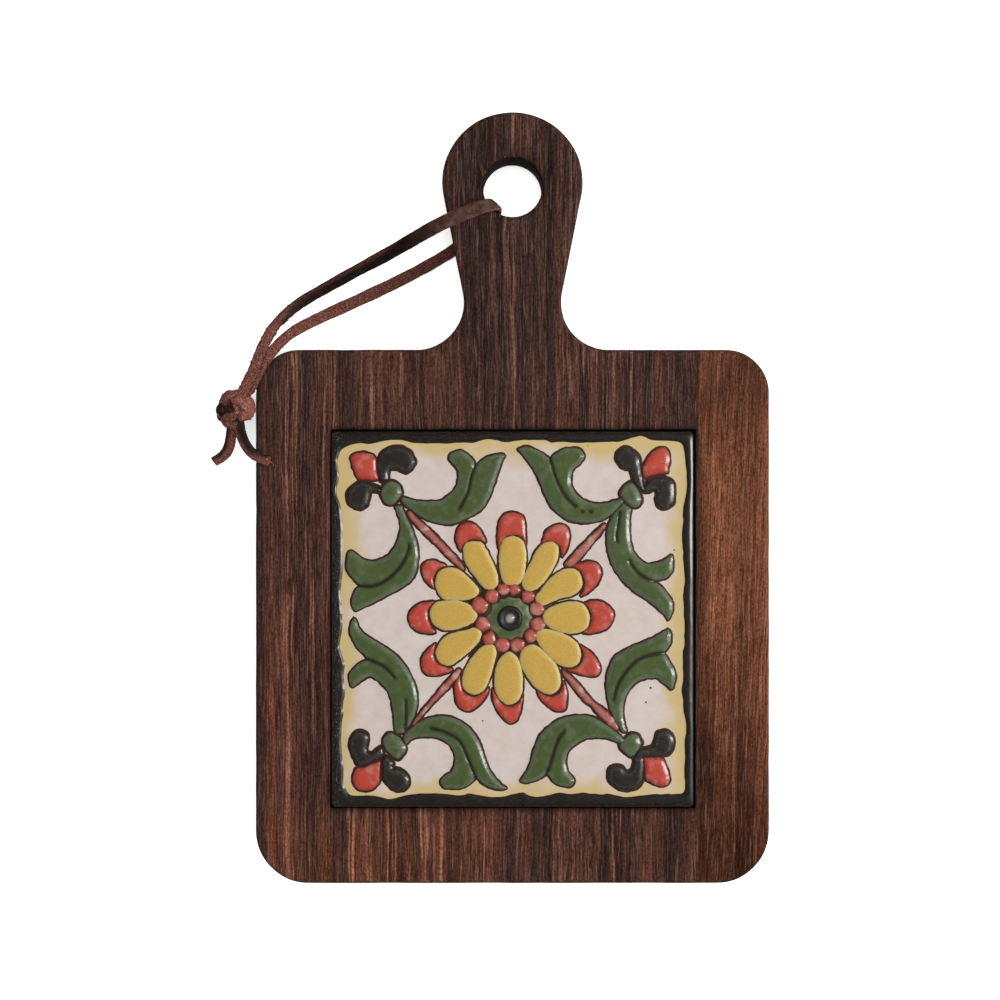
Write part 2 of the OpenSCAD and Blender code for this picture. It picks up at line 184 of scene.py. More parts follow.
def outward(outline):
    """Unit normals of a closed outline, pointing out of it."""
    run = np.roll(outline, -1, 0) - np.roll(outline, 1, 0)
    run /= np.maximum(np.linalg.norm(run, axis=1, keepdims=True), 1e-9)
    x, y = outline[:, 0], outline[:, 1]
    turn = np.sign(np.sum(x * np.roll(y, -1) - y * np.roll(x, -1)))
    return turn * np.stack([run[:, 1], -run[:, 0]], 1)


def waver(outline, amount, reach, seed):
    """The outline as an unsteady hand would draw it. Each place always wavers in the same way."""
    shift = [[noise.noise((x / reach, y / reach, seed + way)) for way in (0.0, 31.7)] for x, y in outline]
    return outline + amount * np.array(shift)


def arc(centre, radius, start, end, steps):
    """Points on an arc, from one angle to another in degrees."""
    turns = np.radians(np.linspace(start, end, steps + 1))
    return np.stack([centre[0] + radius * np.cos(turns), centre[1] + radius * np.sin(turns)], 1)


# %% [markdown]
# ## Wood
# The board is a dark, open-pored hardwood, planed, stained and oiled. Its grain runs along the handle: bands some
# 6 mm wide, groups of paler reddish streaks, threads a third of a millimetre wide, pale fibres and short dark pores.
# Each is the same noise stretched along the grain, so the sides and the end grain come out right too. Dried oil
# gives the face a dull shine. The sides are painted darker, as painted shade, and have no shine. A painted shadow
# lies in the tile's recess, whose floor is painted dark as well, and fades on the wood beside it. Broad tints with
# ragged edges make the board lighter and darker in places; the dark tints round the hole and along the tile are
# painted shade. Threads, fibres and pores are drawn a little coarser than they are, so that they show at this
# distance.

# %% Wood finish
RECESS_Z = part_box("tile_adhesive")[0].z / MM
TILE_LOW, TILE_HIGH = [np.array(c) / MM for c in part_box("tile_body")]
# The painted shadow fades out from this rectangle, which lies a little inside the tile's left and right sides.
TILE_SHADOW_BOX = TILE_LOW[:2] + (1.0, 0.0), TILE_HIGH[:2] - (0.2, 0.0)
# Width and darkest tone of the painted shadow, in millimetres and as a factor.
SHADOW_W, SHADOW_TONE = 2.2, 0.22
# The last two colours are painted shade: one for the sides, one for the floor of the tile's recess.
PALE_FIBRE, DARK_PORE, SIDE_SHADE, RECESS_SHADE = "#8a685b", "#1b110d", "#0d0705", "#1a0f0b"
SOFT_RANGE = "MapRange", {"interpolation_type": "SMOOTHSTEP"}


def wood(name, tones, shift, streak_tone, lean, tints):
    """Tones are the ramp's stops, shift picks another part of the tree, lean turns the grain, in degrees. Each tint
    has its middle, its reach and a factor for the colour."""
    finish, tree, shader, mm = new_material(name)
    placed = add(tree, "VectorMath", {"operation": "ADD"}, {0: mm, 1: shift})
    leaning = add(tree, "VectorRotate", {"rotation_type": "Z_AXIS"},
                  {"Vector": placed, "Angle": math.radians(lean)})
    slow = add(tree, "VectorMath", {"operation": "MULTIPLY"},
               {0: leaning, 1: (1 / 18, 1 / 45, 1 / 18)})
    drift = add(tree, "TexNoise", None, {"Vector": slow, "Scale": 1.0, "Detail": 3.0})
    centred = add(tree, "VectorMath", {"operation": "SUBTRACT"},
                  {0: drift.outputs["Color"], 1: (0.5, 0.5, 0.5)})
    wandering = add(tree, "VectorMath", {"operation": "MULTIPLY_ADD"},
                    {0: centred, 1: (3.0, 0.0, 3.0), 2: leaning})

    def grain(width, length, detail, rough=0.5):
        stretched = add(tree, "VectorMath", {"operation": "MULTIPLY"},
                        {0: wandering, 1: (1 / width, 1 / length, 1 / width)})
        return add(tree, "TexNoise", None,
                   {"Vector": stretched, "Scale": 1.0, "Detail": detail, "Roughness": rough})

    # Bands and stripes give the tone, and the streaks lie over them in groups.
    bands, stripes = grain(6.0, 260.0, 2.0), grain(1.3, 110.0, 3.0, 0.6)
    threads, pores, grit = grain(0.36, 24.0, 2.5, 0.6), grain(0.4, 7.0, 1.0), grain(0.4, 0.8, 2.0)
    tone = add(tree, "Mix", None, {0: 0.45, 2: bands, 3: stripes})
    colour = add(tree, "ValToRGB", None, {"Fac": tone}, tones)
    groups = add(tree, *SOFT_RANGE, (grain(5.0, 150.0, 1.0), 0.46, 0.66, 0.0, 1.0))
    lines = add(tree, *SOFT_RANGE, (grain(0.85, 95.0, 2.0), 0.50, 0.68, 0.0, 0.9))
    streaks = add(tree, "Math", {"operation": "MULTIPLY"}, (groups, lines))
    colour = add(tree, "Mix", {"data_type": "RGBA"},
                 {0: streaks, 6: colour, 7: linear(streak_tone)}).outputs[2]

    for (x, y), (reach_x, reach_y), tint in tints:
        away = add(tree, "VectorMath", {"operation": "SUBTRACT"}, (mm, (x, y, 0)))
        flat = add(tree, "VectorMath", {"operation": "MULTIPLY"},
                   (away, (1 / reach_x, 1 / reach_y, 0)))
        ragged = add(tree, "VectorMath", {"operation": "MULTIPLY_ADD"},
                     (centred, (0.8, 0.8, 0.0), flat))
        far = add(tree, "VectorMath", {"operation": "LENGTH"}, (ragged,))
        near = add(tree, *SOFT_RANGE, (far.outputs["Value"], 0.2, 1.2, 1.0, 0.0))
        colour = add(tree, "Mix", {"data_type": "RGBA", "blend_type": "MULTIPLY"},
                     {0: near, 6: colour, 7: (*tint, 1)}).outputs[2]

    # Threads and grit vary the tone finely. Pale fibres and dark pores lie in it.
    thready = add(tree, *SOFT_RANGE, (threads, 0.3, 0.7, 0.6, 1.4))
    gritty = add(tree, *SOFT_RANGE, (grit, 0.3, 0.7, 0.62, 1.4))
    shades = add(tree, "Math", {"operation": "MULTIPLY"}, (thready, gritty))
    threaded = add(tree, "VectorMath", {"operation": "SCALE"}, {0: colour, "Scale": shades})
    fibres = add(tree, *SOFT_RANGE, (grain(0.32, 11.0, 2.0, 0.7), 0.54, 0.7, 0.0, 0.3))
    fibred = add(tree, "Mix", {"data_type": "RGBA"},
                 {0: fibres, 6: threaded, 7: linear(PALE_FIBRE)})
    open_pores = add(tree, *SOFT_RANGE, (pores, 0.56, 0.68, 0.0, 0.6))
    with_pores = add(tree, "Mix", {"data_type": "RGBA"},
                     {0: open_pores, 6: fibred.outputs[2], 7: linear(DARK_PORE)})

    # The sides are painted darker, and so is the floor of the recess: both are painted shade.
    facing = add(tree, "SeparateXYZ", None, (add(tree, "NewGeometry").outputs["Normal"],))
    level = add(tree, "Math", {"operation": "ABSOLUTE"}, (facing.outputs["Z"],))
    side_shade_mask = add(tree, *SOFT_RANGE, (level, 0.2, 0.98, 0.75, 0.0))
    side_shaded = add(tree, "Mix", {"data_type": "RGBA"},
                {0: side_shade_mask, 6: with_pores.outputs[2], 7: linear(SIDE_SHADE)})
    height = add(tree, "SeparateXYZ", None, (mm,)).outputs["Z"]
    # Painted shade: the floor of the recess takes a dark colour.
    in_recess = add(tree, "Math", {"operation": "COMPARE"}, (height, RECESS_Z, 0.05))
    recess_shaded = add(tree, "Mix", {"data_type": "RGBA"},
                  {0: in_recess, 6: side_shaded.outputs[2], 7: linear(RECESS_SHADE)})

    # The painted shadow beside the tile fades with the distance past the tile's sides.
    from_tile = add(tree, "VectorMath", {"operation": "SUBTRACT"}, (mm, (*sum(TILE_SHADOW_BOX) / 2, 0)))
    one_side = add(tree, "VectorMath", {"operation": "ABSOLUTE"}, (from_tile,))
    past_edge = add(tree, "VectorMath", {"operation": "SUBTRACT"},
                    (one_side, (*(TILE_SHADOW_BOX[1] - TILE_SHADOW_BOX[0]) / 2, 0)))
    past = add(tree, "SeparateXYZ", None, (past_edge,))
    nearest = add(tree, "Math", {"operation": "MAXIMUM"}, (past.outputs["X"], past.outputs["Y"]))
    side_fade = add(tree, *SOFT_RANGE, (nearest, 0.0, SHADOW_W, SHADOW_TONE, 1.0))
    retoned = add(tree, "VectorMath", {"operation": "SCALE"},
                 {0: recess_shaded.outputs[2], "Scale": side_fade})

    # Threads stand up and pores are open. The sides are as rough as the saw left them.
    relief = add(tree, "Math", {"operation": "SUBTRACT"}, (threads, open_pores))
    oiled = add(tree, *SOFT_RANGE, (threads, 0.3, 0.7, 0.68, 0.52))
    sawn = add(tree, *SOFT_RANGE, (level, 0.3, 0.95, 1.0, 0.0))
    rough = add(tree, "Math", {"operation": "MAXIMUM"}, (oiled, sawn))
    join_shader(tree, shader, retoned, rough, relief, 0.08, 0.5)
    shader.inputs["Specular IOR Level"].default_value = 0.04
    return finish


# The wide stave is nearly black, with reddish streaks. It is warmest at the lower left and darkest round the hole,
# where the tint is painted shade.
wide_wood = wood("oiled_dark_hardwood",
                 [(0.34, "#201613"), (0.46, "#2d1f1b"), (0.54, "#3b261f"), (0.68, "#503127")],
                 (0.0, 0.0, 0.0), "#6a4a3f", 0.0,
                 [((-34, -97), (42, 18), (1.5, 1.22, 0.94)), ((-62, -45), (14, 80), (1.3, 1.1, 1.0)),
                  ((34, -98), (34, 16), (1.0, 0.88, 0.78)), ((-40, 30), (35, 14), (1.08, 1.0, 0.98)),
                  ((1.2, 87.0), (9.6, 9.6), (0.05, 0.05, 0.05)), ((-11, 90), (13, 24), (0.9, 0.92, 0.94)),
                  ((2, 90), (30, 34), (0.82, 0.87, 0.9)), ((0, 47), (36, 13), (0.88, 0.9, 0.92))])
# The narrow stave is redder and leans a little. It darkens to both ends, and the dark tints along the tile are painted
# shade.
narrow_wood = wood("oiled_red_hardwood",
                   [(0.30, "#42261a"), (0.45, "#523020"), (0.56, "#613926"), (0.72, "#74452a")],
                   (61.0, 13.0, 29.0), "#85573f", 2.0,
                   [((61, -92), (24, 50), (0.42, 0.39, 0.4)), ((66, -104), (22, 20), (0.6, 0.58, 0.58)),
                    ((61, 34), (16, 22), (0.55, 0.55, 0.6)), ((51, -34), (3.8, 75), (0.5, 0.5, 0.52)),
                    ((53, -72), (5, 16), (0.55, 0.55, 0.55))])
print("wood finishes:", wide_wood.name, narrow_wood.name)

# %% [markdown]
# ## Board
# The board was sawn, its edges were eased by hand, and it was glued up from a wide and a narrow stave. A slab with
# softly rounded edges is lofted from the outline, then a hole, the tile's recess and the glue line are cut, as on
# the bench. The outline wavers by a tenth of a millimetre, as sanded edges do.

# %% Board outline
BOARD_W, BOARD_T = 142.4, 15.0
FAR_Y, SHOULDER_Y, END_Y = -107.0, 41.0, 107.0
FAR_R, SHOULDER_R = 14.5, 12.0
HEAD_R, NECK_W, FILLET_R = 19.5, 27.0, 13.2
UNDER_Z = FACE_Z - BOARD_T
HOLE = (0.0, 86.0)
HOLE_R, MOUTH_R = 8.2, 0.9
EDGE_R = 1.25

head = np.array([0.0, END_Y - HEAD_R])
fillet = np.array([NECK_W / 2 + FILLET_R, SHOULDER_Y + FILLET_R])
reach = fillet - head
flank = math.degrees(math.atan2(reach[1], reach[0]) + math.acos((HEAD_R + FILLET_R) / np.linalg.norm(reach)))


def straight(a, b, spacing=4.0):
    """Points between two others, without them."""
    a, b = np.asarray(a, float), np.asarray(b, float)
    n = max(2, int(np.linalg.norm(b - a) / spacing))
    return a + (b - a) * np.linspace(0, 1, n + 1)[1:-1, None]


half = BOARD_W / 2
corners = [arc((FAR_R - half, FAR_Y + FAR_R), FAR_R, 180, 270, 20),
           arc((half - FAR_R, FAR_Y + FAR_R), FAR_R, 270, 360, 20),
           arc((half - SHOULDER_R, SHOULDER_Y - SHOULDER_R), SHOULDER_R, 0, 90, 18),
           arc(fillet, FILLET_R, 270, 180 + flank, 18),
           arc(head, HEAD_R, flank, 180 - flank, 56),
           arc((-fillet[0], fillet[1]), FILLET_R, -flank, -90, 18),
           arc((SHOULDER_R - half, SHOULDER_Y - SHOULDER_R), SHOULDER_R, 90, 180, 18)]
board_line = np.vstack([np.vstack([c, straight(c[-1], corners[(i + 1) % len(corners)][0])])
                        for i, c in enumerate(corners)])
board_out = outward(board_line)
board_line = waver(board_line, 0.11, 7.0, 3.1)
print("board outline:", len(board_line), "points")


# %% [markdown]
# ## Slab and cutters
# A loft joins rings of equal count into a skin. The slab is the outline at rising heights, drawn in at the bottom and
# the top by a quarter-round. The hole's cutter is a spool, wider at both mouths, so it leaves rounded rims. The
# recess is cut a little wider than the tile: wider on the right and at the top, as the photograph shows its gaps.

# %% Board slab and cutters
def loft(rings, closed_ends=True):
    """Points and faces of a tube through equal rings."""
    n, count = len(rings[0]), len(rings)
    points = np.vstack(rings)
    faces = [(k * n + i, k * n + (i + 1) % n, (k + 1) * n + (i + 1) % n, (k + 1) * n + i)
             for k in range(count - 1) for i in range(n)]
    if closed_ends:
        faces += [tuple(range(n - 1, -1, -1)), tuple(range((count - 1) * n, count * n))]
    return points, faces


def band(rings):
    """A closed, ring-shaped body: the tube through equal rings, with the last joined to the first."""
    points, faces = loft(rings + rings[:1], closed_ends=False)
    count = len(rings) * len(rings[0])
    return points[:count], [tuple(i % count for i in f) for f in faces]


def at_height(outline, z):
    """A flat outline lifted to a height."""
    return np.column_stack([outline, np.full(len(outline), z)])


QUARTER = np.radians((0, 22, 45, 68, 90))
eased = [(EDGE_R * (1 - math.sin(a)), EDGE_R * (1 - math.cos(a))) for a in QUARTER]
levels = [(inset, UNDER_Z + rise) for inset, rise in eased]
levels += [(inset, FACE_Z - rise) for inset, rise in eased[::-1]]
slab = loft([at_height(board_line - board_out * inset, z) for inset, z in levels])

mouth = [(HOLE_R + MOUTH_R * (1 - math.cos(a)), MOUTH_R * (1 - math.sin(a))) for a in QUARTER[::-1]]
hole_steps = [(HOLE_R + MOUTH_R, UNDER_Z - 1)] + [(r, UNDER_Z + d) for r, d in mouth]
hole_steps += [(r, FACE_Z - d) for r, d in mouth[::-1]] + [(HOLE_R + MOUTH_R, FACE_Z + 1)]
hole = loft([at_height(arc(HOLE, r, 0, 360, 72)[:-1], z) for r, z in hole_steps])

SEAT_R = 0.3
GAPS_LOW, GAPS_HIGH = (0.3, 0.25), (0.55, 0.5)
recess = TILE_LOW[:2] - GAPS_LOW, TILE_HIGH[:2] + GAPS_HIGH


def oblong(low, high, grow=0.0):
    """The four corners of a rectangle."""
    return np.array([(low[0] - grow, low[1] - grow), (high[0] + grow, low[1] - grow),
                     (high[0] + grow, high[1] + grow), (low[0] - grow, high[1] + grow)])


def block(low, high):
    return loft([at_height(oblong(low, high), z) for z in (low[2], high[2])])


def seat():
    """The tile's recess, with its upper edge eased with sandpaper."""
    steps = [(0.0, RECESS_Z)] + [(SEAT_R * (1 - math.cos(a)), FACE_Z - SEAT_R * (1 - math.sin(a)))
                                 for a in np.radians((0, 30, 60, 90))] + [(SEAT_R, FACE_Z + 1)]
    return loft([at_height(oblong(*recess, grow), z) for grow, z in steps])


def carve(obj, cutter, operation):
    """Cuts a mesh with another, and keeps only the result."""
    tool = piece("cutter", *cutter, wide_wood)
    step = obj.modifiers.new("cut", "BOOLEAN")
    step.operation, step.object, step.solver = operation, tool, "EXACT"
    bpy.context.view_layer.update()
    cut = bpy.data.meshes.new_from_object(obj.evaluated_get(bpy.context.evaluated_depsgraph_get()))
    obj.modifiers.clear()
    obj.data = cut
    bpy.data.objects.remove(tool)


# %% [markdown]
# ## Staves
# Both staves are sawn from the one slab, on either side of the glue line, so their outlines run on from one to the
# other. The recess and the hole are cut in the wide one.

# %% Staves
GLUE_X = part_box("board_narrow_stave")[0].x / MM
GLUE_T = 0.01
BEYOND, BELOW, ABOVE = 200, -5, 40
wide = piece("wide_stave", *slab, wide_wood)
carve(wide, block((-BEYOND, -BEYOND, BELOW), (GLUE_X, BEYOND, ABOVE)), "INTERSECT")
carve(wide, seat(), "DIFFERENCE")
carve(wide, hole, "DIFFERENCE")
narrow = piece("narrow_stave", *slab, narrow_wood)
carve(narrow, block((GLUE_X + GLUE_T, -BEYOND, BELOW), (BEYOND, BEYOND, ABOVE)), "INTERSECT")
for stave, node_name, slot_name in ((wide, "board_wide_stave", "dark_wood"),
                                    (narrow, "board_narrow_stave", "red_wood")):
    stave.data.shade_smooth()
    stave.data.set_sharp_from_angle(angle=math.radians(40))
    even = stave.modifiers.new("even_shading", "WEIGHTED_NORMAL")
    even.keep_sharp = True
    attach(stave, "board")
    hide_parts(node_name)
    print(stave.name, len(stave.data.polygons), "faces, widest", round(stave.dimensions.x / MM, 2), "mm")

# %% [markdown]
# ## Glazes
# The tile is pressed clay. Thick coloured glazes were laid in fields and fired, so each field stands up as a soft
# cushion with a glassy skin. Glaze is thin and pale where it runs off a slope and deep in the middle. An attribute
# painted on the points, depth, says how far a point is from its field's rim, and the colour follows it. A fine
# mottle of about a millimetre is in every glaze. Where glaze ran thin, the clay makes it paler. Pale specks on the
# ridges are painted highlights, and on the border they are wear, most of it on the left side. A line drawn on a
# field, a vein of a leaf, is a second attribute, and the pale specks a third.

# %% Glaze finishes
# The second colour is that of the pale specks: painted highlights on the ridges, wear on the border.
VEIN_INK, CHIP_AND_GLINT = "#1d1712", "#8d857b"
SLOPE_AT = 0.45


def glaze(name, rim, deep, roughness, mottle, coat=0.0, thin=("#a3756b", 0.0)):
    """Rim holds the colours at the foot and on the slope, thin that of bald patches and how far it covers."""
    finish, tree, shader, mm = new_material(name)
    depth = add(tree, "Attribute", {"attribute_name": "depth"})
    cloud = add(tree, "TexNoise", None, {"Vector": mm, "Scale": 0.75, "Detail": 5.0, "Roughness": 0.65})
    grit = add(tree, "TexNoise", None, {"Vector": mm, "Scale": 3.2, "Detail": 3.0})
    shifted = add(tree, "Math", {"operation": "MULTIPLY_ADD"},
                  {0: cloud, 1: mottle, 2: -mottle / 2})
    thick = add(tree, "Math", {"operation": "ADD"}, {0: depth.outputs["Fac"], 1: shifted})
    colour = add(tree, "ValToRGB", None, {"Fac": thick},
                 [(0.0, rim[0]), (SLOPE_AT, rim[1]), (1.0, deep)])
    speck = add(tree, "MapRange", None, (grit, 0.3, 0.7, 0.84, 1.14))
    mixed = add(tree, "VectorMath", {"operation": "SCALE"},
                {0: colour, "Scale": speck})
    runs = add(tree, "TexNoise", None, {"Vector": mm, "Scale": 0.3, "Detail": 4.0, "Roughness": 0.6})
    bald = add(tree, *SOFT_RANGE, (runs, 0.5, 0.68, 0.0, thin[1]))
    retoned = add(tree, "Mix", {"data_type": "RGBA"},
                 {0: bald, 6: mixed, 7: linear(thin[0])})
    line = add(tree, "Attribute", {"attribute_name": "line"})
    inked = add(tree, "Mix", {"data_type": "RGBA"},
                {0: line.outputs["Fac"], 6: retoned.outputs[2], 7: linear(VEIN_INK)})
    # Pale specks: painted highlights on the fields' ridges, wear on the border.
    glint_and_wear_attr = add(tree, "Attribute", {"attribute_name": "wear_and_glint"})
    speck_noise = add(tree, *SOFT_RANGE, (grit, 0.57, 0.68, 0.0, 0.75))
    specks_here = add(tree, "Math", {"operation": "MULTIPLY"}, {0: glint_and_wear_attr.outputs["Fac"], 1: speck_noise})
    specked = add(tree, "Mix", {"data_type": "RGBA"},
                 {0: specks_here, 6: inked.outputs[2], 7: linear(CHIP_AND_GLINT)})
    join_shader(tree, shader, specked.outputs[2], roughness, cloud, 0.06, 0.4)
    shader.inputs["IOR"].default_value = 1.5
    shader.inputs["Coat Weight"].default_value = coat
    shader.inputs["Coat Roughness"].default_value = 0.12
    return finish


# Copper gives a mossy green with a glassy coat, greyer where it thins.
green_glaze = glaze("green_copper_glaze", ("#4e5846", "#48523b"), "#394623", 0.32, 1.1, 0.3, ("#656c55", 0.25))
# Iron gives a brick red, glassy, that turns to a dusty pink where the clay shows through.
red_glaze = glaze("red_iron_glaze", ("#7c3027", "#96352a"), "#993729", 0.32, 1.3, 0.3, ("#a4766c", 0.42))
# On the round berries the crown is lighter than the foot: a painted highlight.
berry_glaze = glaze("pink_iron_glaze", ("#6e322b", "#883f35"), "#984c40", 0.32, 1.0, 0.3, ("#a88279", 0.6))
# On the thin stems it is rubbed nearly through, so it is the palest and the least glassy red.
stem_glaze = glaze("rubbed_iron_glaze", ("#5e2d28", "#7d443c"), "#8e5249", 0.36, 1.0, 0.2, ("#ab8a80", 0.75))
# The yellow is matt, deepest in the middle of a petal.
yellow_glaze = glaze("yellow_matt_glaze", ("#b0a06f", "#a58c49"), "#a2833a", 0.5, 0.35)
# Manganese gives a soft black that is grey on the slopes and mirrors the light in spots.
black_glaze = glaze("black_manganese_glaze", ("#1d1917", "#2e2a27"), "#211d1b", 0.34, 1.0, 0.3)
border_black = glaze("black_border_glaze", ("#15120f", "#231f1c"), "#191512", 0.34, 1.0, 0.3)
# Tin gives an opaque greyish white, the smoothest of all.
white_glaze = glaze("white_tin_glaze", ("#3a3532", "#6f6864"), "#85807d", 0.25, 0.3, 0.3)
# Use has rubbed the shine off the middle of the flower.
worn_green = glaze("worn_green_glaze", ("#5a6049", "#4a5439"), "#394625", 0.5, 1.1, 0.05, ("#77765f", 0.45))
worn_black = glaze("worn_black_glaze", ("#12100d", "#1f1c19"), "#1c1917", 0.5, 1.0)
# The brushed line is a thin brown-black wash with no shine.
line_glaze = glaze("painted_line", ("#20110a", "#2e180d"), "#2e180d", 0.5, 0.8)
print("glazes:", [m.name for m in bpy.data.materials if "glaze" in m.name])

# %% [markdown]
# ## Ground of the tile
# Between the fields lies a satin white ground, a little pink from the clay below, with a few iron specks. A wash
# of yellow runs in from the border and fades within some 7 mm. The wash follows the distance to the tile's sides.

# %% Ground glaze
TILE_C = (TILE_LOW + TILE_HIGH) / 2
TILE_W, TILE_L = TILE_HIGH[0] - TILE_LOW[0], TILE_HIGH[1] - TILE_LOW[1]
FIELD_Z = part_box("ground_glaze")[1].z / MM


def ground_finish():
    """White with a yellow wash along the sides and iron specks up to a third of a millimetre across."""
    finish, tree, shader, mm = new_material("satin_white_ground")
    centred = add(tree, "VectorMath", {"operation": "SUBTRACT"}, {0: mm, 1: (*TILE_C[:2], 0)})
    aside = add(tree, "VectorMath", {"operation": "ABSOLUTE"}, {0: centred})
    inside = add(tree, "VectorMath", {"operation": "SUBTRACT"},
                 {0: (TILE_W / 2, TILE_L / 2, 0), 1: aside})
    sides = add(tree, "SeparateXYZ", None, {0: inside})
    near = add(tree, "Math", {"operation": "SMOOTH_MIN"},
               {0: sides.outputs["X"], 1: sides.outputs["Y"], 2: 6.0})
    patches = add(tree, "TexNoise", None, {"Vector": mm, "Scale": 0.09, "Detail": 3.0})
    reach = add(tree, "Math", {"operation": "MULTIPLY_ADD"},
                {0: patches, 1: 13.0, 2: near})
    side_fade = add(tree, *SOFT_RANGE, (reach, 9.5, 16.5, 0.88, 0.0))
    cloud = add(tree, "TexNoise", None, {"Vector": mm, "Scale": 0.25, "Detail": 6.0, "Roughness": 0.7})
    white = add(tree, "ValToRGB", None, {"Fac": cloud},
                [(0.3, "#a89b93"), (0.55, "#afa39c"), (0.75, "#b4a9a3")])
    yellow = add(tree, "Mix", {"data_type": "RGBA"},
                 {0: side_fade, 6: white, 7: linear("#a69058")})
    cells = add(tree, "TexVoronoi", {"feature": "F1"}, {"Vector": mm, "Scale": 0.13})
    lucky = add(tree, "SeparateColor", None, {0: cells.outputs["Color"]})
    size = add(tree, "MapRange", None, (lucky, 0.3, 1.0, 0.0, 0.05))
    speck = add(tree, "Math", {"operation": "LESS_THAN"}, {0: cells.outputs["Distance"], 1: size})
    spotted = add(tree, "Mix", {"data_type": "RGBA"},
                  {0: speck, 6: yellow.outputs[2], 7: linear("#5a4a40")})
    skin = add(tree, "TexNoise", None, {"Vector": mm, "Scale": 1.6, "Detail": 4.0})
    join_shader(tree, shader, spotted.outputs[2], 0.42, skin, 0.08, 0.35)
    return finish


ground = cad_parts["ground_glaze"]
ground.data.materials.clear()
ground.data.materials.append(ground_finish())
print("tile in mm:", round(TILE_W, 2), "x", round(TILE_L, 2), "field height", round(FIELD_Z, 2))


# %% [markdown]
# ## Raised fields
# A field is any closed outline. Its skin is a triangle mesh through the outline, three rings just inside it and a
# loose grid of points in the middle. Each point's height follows its distance from the rim, like a cushion. Painted
# veins are pressed a little into it. The flat underside closes the mesh. A thin dark line, brushed on before the
# glaze, runs round every field.

# %% Relief builder
def to_segments(points, line, closed):
    """The distance of each point from a line."""
    a = np.asarray(line, float)
    b = np.roll(a, -1, 0) if closed else a[1:]
    a = a if closed else a[:-1]
    ab = b - a
    t = np.clip(((points[:, None] - a) * ab).sum(2) / np.maximum((ab ** 2).sum(1), 1e-12), 0, 1)
    return np.linalg.norm(points[:, None] - (a + t[..., None] * ab), axis=2).min(1)


def inside(points, outline):
    """Which points lie in a closed outline: a ray to one side crosses it an odd number of times."""
    x, y = points[:, 0, None], points[:, 1, None]
    a, b = outline, np.roll(outline, -1, 0)
    crosses = (a[:, 1] > y) != (b[:, 1] > y)
    rise = np.where(np.abs(b[:, 1] - a[:, 1]) < 1e-12, 1e-12, b[:, 1] - a[:, 1])
    return (crosses & (x < (b[:, 0] - a[:, 0]) * (y - a[:, 1]) / rise + a[:, 0])).sum(1) % 2 == 1


def triangles(points, rim):
    """Triangles through all points, within the outline that the first ones make."""
    found = delaunay_2d_cdt([Vector(p) for p in points], [], [list(range(rim))], 1, 1e-5)
    return np.array([tuple(v) for v in found[0]]), [tuple(f) for f in found[2]]


LINE_W, VEIN_W = 0.5, 0.42
RIM_STEP, VEIN_STEP, GRID_STEP = 0.42, 0.4, 0.7
RINGS_IN, VEIN_CLEAR, GRID_CLEAR = (0.15, 0.4, 0.75), 0.2, 1.05
SUNK = 0.04


def relief(outline, height, round_w, veins=()):
    """The upper skin of a field: its points and faces, and on each point the depth of glaze and the ink of a vein."""
    rim = resample(outline, RIM_STEP)
    out = outward(rim)
    rings = [rim - out * d for d in RINGS_IN]
    for vein in veins:
        v = resample(vein, VEIN_STEP, closed=False)
        run = np.gradient(v, axis=0)
        side = np.stack([-run[:, 1], run[:, 0]], 1) / np.linalg.norm(run, axis=1, keepdims=True)
        rings += [v + side * k * VEIN_W for k in (0, 1, -1, 2, -2)]
    low, high = rim.min(0), rim.max(0)
    gx, gy = np.meshgrid(np.arange(low[0], high[0], GRID_STEP), np.arange(low[1], high[1], GRID_STEP * 0.87))
    gx[1::2] += GRID_STEP / 2
    middle = np.stack([gx.ravel(), gy.ravel()], 1)
    middle = middle[inside(middle, rim)]
    middle = middle[to_segments(middle, rim, True) > GRID_CLEAR]
    for vein in veins:
        middle = middle[to_segments(middle, vein, False) > 2.4 * VEIN_W]
    keep = []
    for ring, d in zip(rings, RINGS_IN + (VEIN_CLEAR,) * (len(rings) - len(RINGS_IN))):
        ring = ring[inside(ring, rim)]
        keep.append(ring[to_segments(ring, rim, True) > 0.85 * d] if len(ring) else ring)
    flat, faces = triangles(np.vstack([rim] + keep + [middle]), len(rim))
    # A quarter-round rises from the rim, a groove follows each vein, and the crown is a little uneven.
    from_rim = to_segments(flat, rim, True)
    t = np.clip(from_rim / round_w, 0, 1)
    z = height * np.sqrt(np.maximum(1 - (1 - t) ** 2, 0))
    ink = np.zeros(len(flat))
    for vein in veins:
        from_vein = to_segments(flat, vein, False)
        ink = np.maximum(ink, np.clip(1.6 - from_vein / VEIN_W, 0, 1) * (from_vein < 1.5 * VEIN_W))
        z -= 0.3 * height * np.exp(-(from_vein / 0.55) ** 2) * np.clip(t * 2, 0, 1)
    z += 0.05 * height * np.array([noise.noise((p[0] / 2.2, p[1] / 2.2, 4.0)) for p in flat]) * t
    z[from_rim < 1e-4] = -SUNK
    return np.column_stack([flat, z + FIELD_Z]), faces, t, ink


